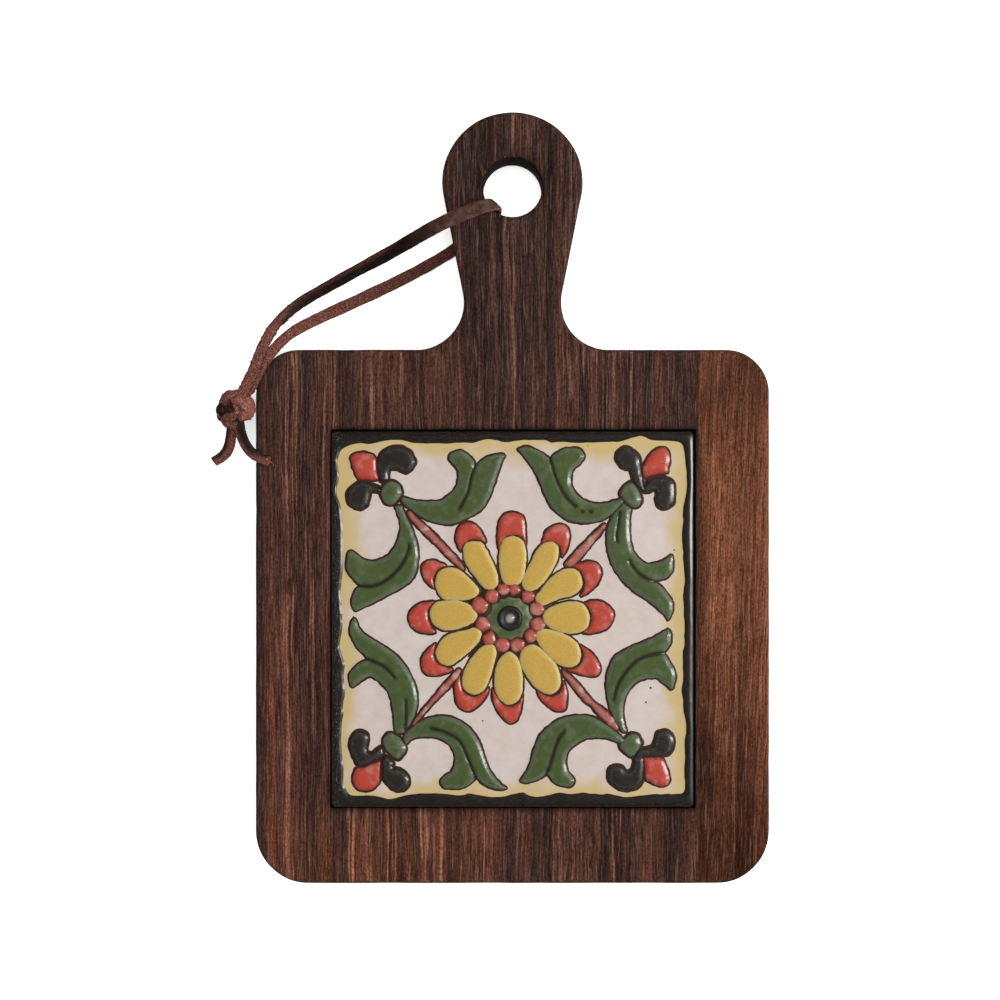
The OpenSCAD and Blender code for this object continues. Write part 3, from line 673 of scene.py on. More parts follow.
class Sheet:
    """Gathers the fields of one colour into one mesh, with the lines round them."""

    def __init__(self):
        self.points, self.faces, self.depth, self.ink = [], [], [], []

    def put(self, points, faces, depth=None, ink=None):
        start = len(self.points)
        self.points += [tuple(p) for p in points]
        self.faces += [tuple(i + start for i in f) for f in faces]
        self.depth += list(np.ones(len(points)) if depth is None else depth)
        self.ink += list(np.zeros(len(points)) if ink is None else ink)

    def field(self, outline, height, round_w, veins=()):
        """Adds a field's skin and its underside. Where both have the same triangle, in a sharp corner, both go."""
        points, faces, depth, ink = relief(outline, height, round_w, veins)
        rim = {i for i, p in enumerate(points) if p[2] < FIELD_Z}
        edges = dict.fromkeys((a, b) for f in faces for a, b in zip(f, f[1:] + f[:1]) if a in rim and b in rim)
        after = {a: b for a, b in edges if (b, a) not in edges}
        loop = [next(iter(after))]
        while after[loop[-1]] != loop[0]:
            loop.append(after[loop[-1]])
        under = [tuple(loop[i] for i in f[::-1]) for f in triangles(points[loop][:, :2], len(loop))[1]]
        twins = {frozenset(f) for f in faces} & {frozenset(f) for f in under}
        self.put(points, [f for f in faces + under if frozenset(f) not in twins], depth, ink)

    def make(self, name, finish, node_name, slot_name, wear_and_glint=None):
        obj = piece(name, self.points, self.faces, finish, 60)
        paint_points(obj, "depth", self.depth)
        paint_points(obj, "line", self.ink)
        # Pale specks sit on the ridge, a third of the way from the foot to the crown: painted highlights.
        ridge = 0.6 * np.exp(-((np.array(self.depth) - 0.35) / 0.2) ** 2)
        paint_points(obj, "wear_and_glint", ridge if wear_and_glint is None else wear_and_glint)
        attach(obj, "board")
        if node_name:
            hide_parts(node_name)
        print(name, len(self.faces), "faces")


lines = Sheet()
BEAD = [(-0.3, -0.05), (-0.3, 0.06), (0.45, 0.1), (0.85, 0.07), (1.0, -0.05)]


def brush_round(outline, seed, width=LINE_W):
    """The dark line round a field: a low bead that starts under the field's rim."""
    rim = resample(outline, 0.5)
    out = outward(rim)
    swell = np.array([1 + 0.35 * noise.noise((x / 3, y / 3, 7.0 + seed)) + 0.3 * noise.noise((x, y, seed))
                      for x, y in rim])[:, None]
    lines.put(*band([at_height(rim + out * width * s * (swell if s > 0 else 1), FIELD_Z + z) for s, z in BEAD]))


# %% [markdown]
# ## Corner sprays
# Each corner holds a round green knop, a red bud between two black sepals, and two forked leaves that lie along the
# tile's sides: a common scroll on painted tiles. A hand drew each one a little differently, so every outline has its
# own few points, in millimetres from the tile's middle. A point written twice is a sharp corner.

# %% Corner sprays
LEAVES = [
    [(-30.5, 33.8), (-28.9, 33.5), (-26.7, 32.9), (-21.2, 32.7), (-18.9, 33.5), (-15.7, 36.6), (-15, 40.3),
     (-15.5, 41.7), (-17.4, 44.1), (-17.3, 45.7), (-15.1, 46.7), (-13.7, 46.5), (-11.4, 44.7), (-10.1, 42.8),
     (-10.1, 42.8), (-7.4, 44.8), (-3.7, 45.8), (-2, 45.4), (-2, 45.4), (-3.3, 42.5), (-6.4, 33.8), (-9, 30),
     (-15.7, 26.6), (-20.4, 26.5), (-24.8, 28), (-28.3, 30.4), (-30.6, 32.4)],
    [(-32.6, 31.2), (-32, 29.9), (-31.1, 26.3), (-31.6, 22.4), (-33.6, 18.6), (-37, 16.4), (-40.8, 16.5),
     (-44.4, 19.1), (-44.4, 19.1), (-45.6, 18.3), (-45.9, 14.5), (-45.2, 12.6), (-42.3, 9.4), (-42.3, 9.4),
     (-44, 7.3), (-44.5, 4.2), (-43.6, 2.1), (-43.6, 2.1), (-34.6, 6.6), (-28.9, 9.9), (-26.7, 13), (-26, 16.8),
     (-26.3, 20.8), (-27.5, 24.7), (-30.1, 30.2), (-30.6, 31.5)],
    [(29.9, 33.5), (28.5, 32.9), (25, 32.1), (21, 32.5), (18, 34.4), (16.3, 37.2), (16.4, 40.4), (17.3, 41.8),
     (18.6, 42.9), (19.9, 45.2), (18.2, 47.2), (14.3, 47.2), (11.1, 45.2), (10.5, 44.1), (10.5, 44.1), (8.4, 46),
     (4.8, 47.6), (3.1, 47.7), (1.4, 47.1), (1.4, 47.1), (5.1, 42.5), (7.3, 38.5), (8.9, 34.4), (11, 30.8),
     (14.7, 27.7), (18.6, 26.7), (23, 26.9), (26.8, 28.6), (29.8, 31.5), (30.7, 32.6)],
    [(30.7, 31.9), (29.7, 31.2), (27.5, 28.6), (26, 23.9), (26.3, 18.8), (28.2, 13.6), (32.1, 8.9), (38.1, 4.6),
     (41.7, 1.4), (43, -0.5), (43, -0.5), (44, 1.4), (44.4, 3), (44.2, 4.9), (43.4, 6.5), (40.7, 9.6),
     (38.9, 10.5), (38.9, 10.5), (41.9, 11.2), (43.4, 12.2), (44.3, 13.8), (44.4, 17.3), (43.8, 18.1),
     (43.8, 18.1), (43, 17.3), (40.3, 15.8), (36.8, 15.6), (33.9, 18.2), (32.6, 22), (32.4, 27.1), (32.6, 29.5),
     (32.8, 30.7)],
    [(-43.9, 0.5), (-44.8, -1.5), (-44.9, -3.5), (-43.4, -7.2), (-39.8, -11), (-39.8, -11), (-43, -12.5),
     (-45.2, -15.3), (-44.8, -18.2), (-44.2, -18.9), (-44.2, -18.9), (-40.2, -16), (-37.4, -16.8), (-34.4, -20.2),
     (-33.1, -24.8), (-32.7, -29.5), (-32.3, -31.4), (-30.1, -31.4), (-29.2, -30), (-28, -28.6), (-26.3, -24),
     (-26.6, -19.3), (-28.4, -14.7), (-31.6, -10.4), (-35.4, -7.4), (-41.3, -3.6), (-43.2, -0.3), (-43.9, 0.5)],
    [(-30.2, -32.8), (-29.1, -30.9), (-25.6, -28.1), (-20.8, -26.7), (-16.1, -27.3), (-11.9, -29.9), (-9.1, -34),
     (-6.5, -41.1), (-3.5, -45.2), (-1.4, -46.6), (-1.4, -46.6), (-3.1, -47), (-6.9, -46.2), (-10.2, -43.5),
     (-10.2, -43.5), (-10.8, -44.7), (-13.7, -46.6), (-18, -46.8), (-19.3, -46.2), (-20, -44.9), (-19.2, -43.6),
     (-16.6, -41.5), (-16, -37.8), (-17.8, -34.4), (-21.6, -32.6), (-26.3, -32.6), (-28.3, -33.5), (-29.5, -34.5)],
    [(30.9, -33.3), (28.5, -31), (23, -27.3), (18.6, -26.4), (13.9, -27.2), (11.6, -28.3), (7.9, -31.6),
     (6, -35.5), (4.6, -40.2), (3.6, -42.4), (1.9, -44.7), (1.9, -44.7), (3.3, -45.2), (6.8, -44.4), (9.5, -42.6),
     (9.5, -42.6), (11.2, -44.8), (12.8, -45.8), (15.8, -46.2), (17.1, -44.5), (15.4, -42), (14.8, -40.2),
     (14.8, -38.4), (15.4, -36.6), (16.6, -35.2), (20.2, -33), (25, -32.7), (27.3, -33.3), (29.6, -34.2)],
    [(42.9, -2.5), (42.9, -2.5), (43.7, -3.6), (43.9, -5.5), (43.4, -7.2), (42, -9.2), (42, -9.2), (44.9, -14.5),
     (44.6, -18.4), (43.8, -19.4), (43.8, -19.4), (40.3, -16.6), (38.4, -16.3), (36.4, -16.5), (34.3, -17.4),
     (31.5, -20.8), (30.6, -25.2), (31.1, -29.1), (31.7, -30.8), (30.3, -31.1), (28.3, -28), (26.8, -24.4),
     (25.9, -19.7), (26.1, -14.9), (27.6, -11.1), (29, -9.6), (33.2, -7.2), (38, -5.4)]]
VEINS = [
    [[(-10.1, 42.8), (-11.4, 39.7), (-12.3, 35.4), (-14.1, 31.7), (-14.7, 30.7)]],
    [[(-42.3, 9.3), (-38.2, 9.3), (-33.8, 11.7), (-30.7, 15.1), (-28.9, 18.8), (-28.6, 20.6)]],
    [[(10.5, 44.1), (12, 38.9), (14.6, 34), (17.3, 31.3)]],
    [[(38.9, 10.5), (35.6, 12.1), (32.9, 14.9), (32.4, 16)],
     [(29.6, 29.7), (29.4, 27.9), (29, 25.5), (28.7, 23.3), (28.8, 21.8)]],
    [[(-39.8, -11), (-35.8, -12.8), (-33.1, -15.4), (-32.7, -16.1)],
     [(-29.5, -22.4), (-29.5, -25.6), (-29.5, -28.4), (-29.7, -30.3)]],
    [[(-10.2, -43.5), (-12.3, -38.6), (-14.7, -33.6), (-18.9, -31), (-22.3, -30.1)]],
    [[(9.5, -42.6), (11, -37.8), (12.6, -33.1), (14.3, -30.9)]],
    [[(42, -9.2), (38, -9.8), (34.1, -11.5), (31, -14.8), (28.8, -18.5), (28, -22)]]]
KNOPS = [
    [(-36.4, 35), (-35.7, 36.8), (-34.6, 37.9), (-33.1, 38.2), (-31.7, 37.5), (-30.8, 36.2), (-30.7, 34.4),
     (-32.7, 32), (-34.2, 31.7), (-35.6, 32.6)],
    [(29.9, 35), (30.9, 37), (32.8, 37.8), (34.3, 36.6), (35.3, 34.6), (35.6, 32.6), (34.7, 31.2), (33.2, 31),
     (30.4, 33.5)],
    [(-35.9, -33.5), (-33.8, -31.3), (-31.1, -32.8), (-29.8, -34.3), (-29.4, -36), (-30.4, -37.5), (-31.9, -38.5),
     (-34.6, -36.6)],
    [(29.6, -34.7), (32.1, -31.9), (34, -31.7), (35.1, -32.7), (35.6, -34.5), (34.7, -36.2), (33.2, -37.7),
     (31.7, -37.5)]]
BUDS = [
    [(-42.3, 38.6), (-43.3, 39.7), (-44.9, 44.5), (-43.3, 46), (-40.2, 46), (-37.8, 44.8), (-37.6, 41.7),
     (-37.1, 38.7), (-38.6, 38.5), (-40.6, 38.5)],
    [(36.3, 39.3), (36.1, 42.5), (39, 46.7), (42.4, 47.5), (43.5, 44.5), (43.1, 41.3), (42.9, 40.5), (41.1, 40.3),
     (37.4, 39.4)],
    [(-42.8, -40.8), (-43.8, -42.2), (-44.3, -44.1), (-43.8, -45.8), (-42.6, -47), (-40.9, -47.4), (-39.1, -47.1),
     (-37.5, -46), (-36.7, -44.5), (-36.5, -40.6), (-36.6, -39.3), (-38.2, -39.5), (-41.3, -40.9)],
    [(36.4, -38.3), (40.3, -38.2), (41.6, -38.5), (42.5, -40.2), (43.5, -44.1), (43, -45.6), (41.5, -46.2),
     (39.6, -45.8), (37.7, -44.8), (36.7, -44.1), (36.4, -40.2)]]
SEPALS = [
    [(-36.5, 38.1), (-36.7, 39.7), (-37.4, 43.5), (-35.5, 46.7), (-32.1, 47.7), (-28.6, 46.7), (-27, 44.1),
     (-27.2, 42.4), (-28, 41.2), (-29.1, 40.6), (-30.5, 40.7), (-31.9, 41.4), (-34.1, 41.1), (-34.4, 38.3)],
    [(-36.5, 36.1), (-37.8, 36.8), (-40.9, 38), (-42.5, 37.9), (-45.4, 35.5), (-45.4, 32.1), (-42.7, 30.4),
     (-40.2, 31.5), (-39, 35.3), (-36.6, 35)],
    [(28.7, 45.8), (30.7, 47.6), (32.3, 47.3), (34.7, 45.4), (35.4, 42.7), (36.2, 37.5), (36.7, 35.8),
     (35.8, 35.4), (33.8, 37.4), (32.4, 41.2), (30.9, 41.6), (28.8, 43.5)],
    [(36, 35.6), (36.6, 37.2), (37.7, 38.5), (41.5, 39.4), (44.2, 38.3), (44.8, 36.6), (44.6, 32.7), (43.8, 31.2),
     (42.3, 30.5), (40.8, 30.8), (39.9, 31.7), (39.6, 33), (39.5, 35.7), (36.8, 35)],
    [(-45, -33.9), (-44.4, -32.2), (-43.3, -31), (-41.7, -30.8), (-40.4, -31.6), (-39.8, -33.1), (-40.2, -36.2),
     (-39.2, -36.8), (-37.8, -36.2), (-36.4, -35.1), (-35.8, -35.9), (-35.7, -37.5), (-36.6, -38.3),
     (-39.8, -39.9), (-41.5, -40.5), (-43, -40.1), (-44.7, -36.6)],
    [(-35.1, -37.6), (-33.5, -38.7), (-32.9, -39.7), (-33.1, -41.1), (-31.5, -41.3), (-29.9, -42.1),
     (-28.8, -43.4), (-28.5, -44.9), (-29, -46.4), (-30.3, -47.2), (-32.2, -47.3), (-33.8, -46.4), (-36, -43.7),
     (-35.9, -41.8), (-36.1, -39.8), (-35.7, -38.2)],
    [(39.7, -31.6), (41.2, -30.7), (42.9, -30.7), (44.2, -31.8), (44.7, -33.7), (44.3, -35.6), (43.2, -37.1),
     (41.5, -37.7), (37.6, -37.9), (34.2, -38.3), (34.3, -36.9), (35.6, -35.8), (37.6, -35.4), (38.8, -34.9)],
    [(33.7, -37.8), (36.2, -38.3), (36.3, -43), (35.7, -45.2), (34, -46.6), (31.7, -47.3), (29.3, -46.8),
     (27.4, -45.6), (26.4, -43.9), (26.3, -42), (27, -40.7), (28.7, -40.3), (30.4, -40.7), (31.3, -41.8),
     (32.5, -41.7), (33.3, -40.6)]]
STEMS = [
    [(-29.1, 29.9), (-27.8, 29.7), (-26, 27.8), (-23.2, 25.4), (-14.5, 16.3), (-13.5, 13.5), (-16.1, 15.4),
     (-27.3, 26.5), (-28.7, 28.3)],
    [(25, 26.3), (19, 20.7), (15.3, 16.6), (14.2, 15.1), (15.5, 14.5), (17, 14.9), (19.7, 17.7), (22.5, 21.3),
     (25.5, 25.1)],
    [(-27.7, -29.1), (-26.7, -27.2), (-20.8, -19.8), (-15.7, -14.1), (-14.7, -13.6), (-14.3, -14.7),
     (-17.4, -18.8), (-23.3, -24.8), (-26.7, -28.9)],
    [(13.7, -13.9), (16.7, -15.9), (22.2, -22.2), (26.9, -26.1), (29.4, -29.7), (28.7, -30.6), (27.7, -30.2),
     (23.8, -26.6), (21.9, -24.2), (19.5, -22.3), (15.2, -17.1), (13.9, -15.5)]]
RELIEF_H = 0.95
leaves, knops, buds, sepals, stems = Sheet(), Sheet(), Sheet(), Sheet(), Sheet()


def on_tile(points, seed, grow=0.0):
    """A smooth closed outline in the board's frame, with a slight waver."""
    outline = resample(smooth(points, 6, True) + TILE_C[:2], 0.35)
    return waver(outline + outward(outline) * grow, 0.16, 1.1, seed)


for i, (outline, marks) in enumerate(zip(LEAVES, VEINS)):
    leaf = on_tile(outline, 1.0 + i)
    leaves.field(leaf, RELIEF_H, 1.5, [smooth(m, 6) + TILE_C[:2] for m in marks])
    brush_round(leaf, 0.7 * i)
# For each kind: its height as a share of the full relief, the width of its rounded slope and that of its line.
for sheet, shapes, height, round_w, line_w in ((knops, KNOPS, 1.15, 2.2, 0.75), (buds, BUDS, 0.95, 1.8, LINE_W),
                                               (sepals, SEPALS, 0.95, 1.7, 0.65), (stems, STEMS, 0.6, 0.8, LINE_W)):
    for i, shape in enumerate(shapes):
        outline = on_tile(shape, 30.0 + i)
        sheet.field(outline, RELIEF_H * height, round_w)
        brush_round(outline, 0.4 * i, line_w)
print("corner outlines:", sum(map(len, (LEAVES, KNOPS, BUDS, SEPALS, STEMS))))

# %% [markdown]
# ## Flower
# Twelve yellow petals, each with a red tip behind it, stand round a ring of berries, a green disc, a dark ring and
# a white pearl. The petals that point to the sides are broader than those that point up and down. The outlines run
# inside the brushed lines, so they are grown a little, until each field laps over its line.

# %% Flower
PETALS = [
    [(0.1, 22.7), (2.4, 21.8), (3.4, 19.2), (3.4, 15.7), (3, 12.3), (1.7, 10.2), (-0.1, 9.7), (-1.9, 10.2),
     (-2.9, 12.3), (-3.4, 15.7), (-3.2, 19.2), (-2.1, 22)],
    [(9, 20.8), (11, 21.1), (12.3, 20), (12.4, 17.8), (11.5, 15.2), (10, 12.6), (8, 9.9), (6, 8.4), (4.1, 8.2),
     (3, 9.3), (3.2, 11.3), (5.7, 16.6), (7.3, 19.4)],
    [(11.7, 12.1), (14, 13.5), (16.6, 13.8), (18.4, 12.5), (19, 10.2), (18.2, 8.2), (16.2, 6.8), (13.1, 6.1),
     (10, 4.8), (8, 4.1), (6.9, 5.1), (6.8, 6.4), (8, 7.9), (9.7, 10.1)],
    [(8.7, 0.6), (9.4, 2.2), (11.7, 3.6), (14.8, 4.5), (17.9, 4.6), (20, 3.4), (20.9, 1.2), (20.9, -0.8),
     (20, -2.5), (17.6, -3.5), (14.5, -3.5), (11.4, -2.5), (9.4, -1.2)],
    [(7, -3.6), (8.3, -3), (11, -3.3), (13.8, -4.2), (16.5, -5.7), (18.2, -7.7), (18.6, -10.2), (17.9, -11.9),
     (16.2, -12.8), (13.8, -12.6), (11.4, -11), (9, -8.7), (7.4, -6.4), (6.7, -4.6)],
    [(2.8, -8.9), (4.5, -7.5), (6.5, -7.5), (8.9, -9.5), (11.3, -11.9), (12.6, -14.6), (13, -17.4), (12.3, -19.3),
     (10.7, -20.4), (8.7, -20), (6.3, -18.4), (4.2, -15.6), (2.8, -12.9), (2.3, -10.6)],
    [(-0.8, -9.3), (1, -10.6), (2.1, -13.3), (2.5, -16.7), (2.3, -20.1), (1, -22.5), (-1, -23.3), (-3, -22.2),
     (-4.4, -19.8), (-4.7, -16), (-4, -12.6), (-2.6, -10.2)],
    [(-6.2, -7.1), (-4.9, -8.1), (-4.9, -10.2), (-6.6, -16.3), (-8, -19.1), (-10, -20.4), (-12, -20),
     (-13.5, -18.4), (-13.5, -15.7), (-12.5, -13), (-10.6, -10.2), (-8.3, -7.8)],
    [(-13.1, -3.3), (-10.4, -2.6), (-9.1, -3.1), (-9, -4.6), (-10.4, -7), (-15.6, -11.5), (-18, -12.4),
     (-20, -11.6), (-20.9, -9.5), (-20.2, -7.1), (-18.6, -5), (-16.2, -4)],
    [(-22.3, 3), (-20.7, 4.5), (-17.3, 5), (-13.8, 4.6), (-11.5, 3.4), (-10.2, 1.6), (-10.5, -0.1), (-12.5, -1.4),
     (-15.9, -2.5), (-18.9, -2.6), (-21.3, -1.4), (-22.5, 0.9)],
    [(-20.2, 12.9), (-18.2, 13.9), (-15.9, 13.9), (-13.2, 12.2), (-10.8, 9.8), (-9.5, 8.1), (-10.4, 6.5),
     (-13.1, 5.7), (-16.6, 5.7), (-19.3, 6.1), (-20.6, 8.1), (-21.1, 10.2)],
    [(-13, 20.5), (-11, 21.3), (-8.7, 20.9), (-7.3, 18.8), (-4.6, 13), (-4.3, 10.2), (-5.3, 8.8), (-6.9, 8.6),
     (-8.6, 9.9), (-12.4, 15.1), (-13.3, 17.8)]]
TIPS = [
    [(-3.7, 19.2), (-4.1, 21.6), (-4.1, 24.4), (-3.6, 27), (-2.4, 28.9), (-0.4, 29.6), (1.9, 29.1), (3.3, 27.3),
     (3.7, 21.4), (3.4, 20.2), (3.4, 20.2), (3, 22.2), (1.7, 23.1), (0, 23.3), (-1.7, 22.9), (-3, 21.4),
     (-3.7, 19.2)],
    [(8.1, 21.1), (8.1, 21.1), (9, 23.9), (10.8, 25.6), (12.8, 26.4), (14.8, 25.8), (15.7, 24), (15.7, 21.6),
     (14.9, 19.2), (13.5, 17), (13.5, 17), (13.4, 19.4), (12.2, 21), (10.1, 21.7)],
    [(16.2, 14.9), (16.2, 14.9), (20.7, 16), (23.1, 15.6), (24.4, 13.9), (24.2, 11.6), (23, 9.3), (20.7, 7.3),
     (18.6, 6.1), (18.6, 6.1), (19.8, 8.5), (19.9, 10.7), (19.1, 13), (17.6, 14.4)],
    [(19.7, 4.5), (19.7, 4.5), (22.1, 5.1), (24.9, 4.7), (27.1, 3.2), (28, 1.1), (27.1, -1.4), (24.9, -3.1),
     (21.7, -3.8), (19.2, -3.7), (19.2, -3.7), (21.1, -2.3), (21.8, -0.5), (21.8, 1.6), (21.1, 3.3)],
    [(18.8, -7), (18.8, -7), (21.1, -8.6), (23.1, -10.6), (24.2, -12.9), (24, -14.8), (22.4, -15.7), (19.7, -15.5),
     (16.6, -14.6), (14.6, -13.7), (14.6, -13.7), (16.7, -13.7), (18.5, -12.8), (19.5, -11), (19.5, -8.8)],
    [(6.7, -19.5), (6.7, -19.5), (7.7, -21.8), (10.1, -24.2), (12.8, -25.4), (14.4, -24.9), (15, -22.6),
     (15, -19.5), (14.1, -16.8), (14.1, -16.8), (13.8, -18.9), (12.8, -20.6), (10.7, -21.3), (8.7, -20.9)],
    [(-5.6, -19.1), (-5.6, -19.1), (-5.5, -21.5), (-4.7, -24.2), (-3, -26.9), (-0.9, -28.7), (1, -28),
     (2.1, -25.7), (2.7, -22.9), (2.8, -20.2), (2.8, -20.2), (1.9, -22.8), (-0.7, -24.1), (-3.1, -23.1)],
    [(-14.6, -15.5), (-14.6, -15.5), (-16, -18.1), (-15.8, -21.2), (-15.1, -23.8), (-13.4, -25.2), (-11.1, -25),
     (-8.7, -23.1), (-6.9, -20.4), (-6.5, -18.8), (-6.5, -18.8), (-10, -21.3), (-12.4, -20.9), (-13.9, -19.3)],
    [(-21.2, -6.5), (-21.2, -6.5), (-23.3, -8.1), (-24.9, -10.5), (-25.1, -13.2), (-23.8, -15.2), (-21.1, -15.5),
     (-18, -14.7), (-16.2, -13.8), (-16.2, -13.8), (-20.4, -12.4), (-21.7, -10.5), (-21.6, -8.2)],
    [(-21.6, 5), (-21.6, 5), (-24.8, 4.6), (-27.5, 3.2), (-28.7, 0.9), (-28.3, -1.4), (-26.5, -3.1), (-23.8, -3.8),
     (-21.1, -3.6), (-21.1, -3.6), (-22.5, -1.9), (-23.4, 0.6), (-23.2, 3)],
    [(-21.6, 8.4), (-21.6, 8.4), (-24, 10.6), (-25.1, 13.7), (-24.4, 15.6), (-22.1, 16.4), (-18, 14.8),
     (-18, 14.8), (-20, 14.3), (-21.5, 12.6), (-21.9, 10.4)],
    [(-14.3, 18.7), (-14.3, 18.7), (-15.6, 21.6), (-15.4, 24.3), (-14.1, 26.3), (-11.7, 26.8), (-9.7, 25.7),
     (-8.1, 23.3), (-7.2, 21.1), (-7.2, 21.1), (-9, 21.9), (-11.1, 22.2), (-13.1, 21.3), (-14.1, 19.8)]]
BERRIES = [(-2.6, 8.4, 1.31), (0.5, 8.3, 1.31), (4.1, 6.3, 1.52), (6.8, 3, 1.66), (6.9, -1.3, 1.66),
           (5, -4.6, 1.52), (1.4, -7, 1.66), (-2.8, -7, 1.66), (-6.4, -5.3, 1.52), (-8.2, -1.3, 1.73),
           (-9.1, 3.9, 2), (-5.7, 6.4, 1.66)]
FLOWER = np.array([TILE_C[0] - 0.75, TILE_C[1] + 0.33])
PETAL_GROW, TIP_GROW, BERRY_GROW = 0.4, 0.08, 0.42
petals, tips, berries = Sheet(), Sheet(), Sheet()
for i, (petal, tip, (x, y, radius)) in enumerate(zip(PETALS, TIPS, BERRIES)):
    petal = on_tile(petal, 50.0 + i, PETAL_GROW)
    petals.field(petal, RELIEF_H * 0.8, 1.3)
    brush_round(petal, 0.3 * i)
    tip = on_tile(tip, 70.0 + i, TIP_GROW)
    tips.field(tip, RELIEF_H * 0.85, 1.4)
    brush_round(tip, 0.3 * i + 0.1)
    berry = arc((TILE_C[0] + x, TILE_C[1] + y), radius + BERRY_GROW, 0, 360, 24)[:-1]
    berry = waver(berry, 0.4, 1.4, 90.0 + i)
    berries.field(berry, RELIEF_H * 0.9, 1.3)
    brush_round(berry, 0.2 * i)
print("petals, tips and berries:", len(PETALS), len(TIPS), len(BERRIES))

# %% [markdown]
# ## Seams between the petals
# Between two petals the brush left a dark wedge that narrows outward. Each is a low bar lofted through a few
# sections, given by their distance from the flower's middle and their half width.

# %% Seams between the petals
SEAM = [(10.5, 0.95), (12.5, 0.85), (14.5, 0.6), (15.8, 0.15)]
petal_turns = sorted(math.atan2(*(np.mean(p, 0) + TILE_C[:2] - FLOWER)[::-1]) for p in PETALS)
for turn, after in zip(petal_turns, petal_turns[1:] + [petal_turns[0] + 2 * math.pi]):
    along = np.array([math.cos((turn + after) / 2), math.sin((turn + after) / 2), 0])
    across, middle = np.cross((0, 0, 1), along), np.array([*FLOWER, FIELD_Z])
    seam = [np.array([middle + along * r + across * w * side + (0, 0, lift)
                      for side, lift in ((1, -0.05), (1, 0.06), (-1, 0.06), (-1, -0.05))]) for r, w in SEAM]
    lines.put(*loft(seam))

# %% [markdown]
# ## Middle of the flower
# A dark ring was brushed on below the berries. The green disc, the dark ring and the pearl are drops of glaze, so
# each is a profile turned about the flower's middle, with a slight waver. The disc ran out between the berries.

# %% Middle of the flower
TURN_STEPS = 96
RUN_OUT, RUN_FROM, RUN_OVER, BERRY_TURN = 0.75, 4.0, 1.6, 0.26
dark_under = [at_height(arc(FLOWER, r, 0, 360, 56)[:-1], FIELD_Z + h)
              for r, h in ((12.6, -0.05), (12.4, 0.07), (5.0, 0.08), (4.8, -0.05))]
lines.put(*band(dark_under))
berry_turns = np.array([math.atan2(y + TILE_C[1] - FLOWER[1], x + TILE_C[0] - FLOWER[0]) for x, y, _ in BERRIES])


def past_berries(points):
    """How far glaze runs out from the middle: furthest where it can flow between two berries."""
    away = points - FLOWER
    turns = np.arctan2(away[:, 1], away[:, 0])
    apart = np.abs((turns[:, None] - berry_turns + math.pi) % (2 * math.pi) - math.pi).min(1)
    far = np.linalg.norm(away, axis=1)
    flow = RUN_OUT * np.clip(apart / BERRY_TURN, 0, 1) ** 2 * np.clip((far - RUN_FROM) / RUN_OVER, 0, 1)
    return points + away * (flow / far)[:, None]


def turned(name, profile, finish, node_name, slot_name, rim_r, deep_r, waviness=0.15):
    """A body of revolution about the flower's middle, from pairs of radius and height."""
    points, faces = loft([at_height(arc(FLOWER, r, 0, 360, TURN_STEPS)[:-1], FIELD_Z + h) for r, h in profile])
    points[:, :2] = waver(past_berries(points[:, :2]), waviness, 2.5, 90.0)
    depth = [np.clip((r - rim_r) / (deep_r - rim_r), 0, 1) for r, _ in profile]
    sheet = Sheet()
    sheet.put(points, faces, np.repeat(depth, TURN_STEPS))
    sheet.make(name, finish, node_name, slot_name)


turned("disc", [(5.6, -0.05), (5.55, 0.25), (5.3, 0.5), (4.9, 0.7), (4.2, 0.84), (3.6, 0.86), (3.4, 0.4)],
       worn_green, "disc_field", "green_glaze", 5.6, 4.4, 0.4)
turned("ring", [(3.42, -0.04), (3.4, 0.55), (3.1, 0.8), (2.6, 0.85), (2.0, 0.6), (1.5, 0.35)],
       worn_black, "ring_field", "black_glaze", 1.5, 2.6)
turned("pearl", [(1.55, -0.03), (1.5, 0.5), (1.2, 0.85), (0.8, 1.02), (0.4, 1.1), (0.05, 1.12)],
       white_glaze, "pearl_field", "white_glaze", 1.55, 0.6)

# %% [markdown]
# ## Fields and lines made
# The fields of one colour and motif become one piece. All brushed lines are one piece too, with a few dots where the
# brush dripped: two on the ground, two on a leaf.

# %% Fields made
for sheet, name, finish, node_name, slot_name in (
        (leaves, "leaves", green_glaze, "leaf_fields", "green_glaze"),
        (knops, "knops", green_glaze, "knop_fields", "green_glaze"),
        (buds, "buds", red_glaze, "bud_fields", "red_glaze"),
        (sepals, "sepals", black_glaze, "sepal_fields", "black_glaze"),
        (stems, "stems", stem_glaze, "stem_fields", "red_glaze"),
        (petals, "petals", yellow_glaze, "petal_fields", "yellow_glaze"),
        (tips, "petal_tips", red_glaze, "petal_tip_fields", "red_glaze"),
        (berries, "berries", berry_glaze, "berry_fields", "red_glaze")):
    sheet.make(name, finish, node_name, slot_name)
# Place on the tile, radius, height over the ground.
DOTS = [(38.2, -18.9, 0.3, 0), (36.9, -22.9, 0.26, 0), (19.4, 29.8, 0.6, RELIEF_H), (21.8, 29.8, 0.65, RELIEF_H)]
for x, y, radius, height in DOTS:
    dot = [at_height(arc((TILE_C[0] + x, TILE_C[1] + y), radius * share, 0, 360, 12)[:-1], FIELD_Z + height + lift)
           for share, lift in ((1, -0.12), (1, 0.03), (0.6, 0.06), (0.1, 0.06))]
    lines.put(*loft(dot))
lines.make("painted_lines", line_glaze, None, "black_glaze")

# %% [markdown]
# ## Border
# A black glaze runs over the tile's rounded edge and ends inside in a line that a hand drew. It is one closed band:
# an outer loop down the tile's side, a flat crown, and the drawn inner loop. Each inner point is paired with the
# outer point nearest in angle round the tile, so the band never twists.

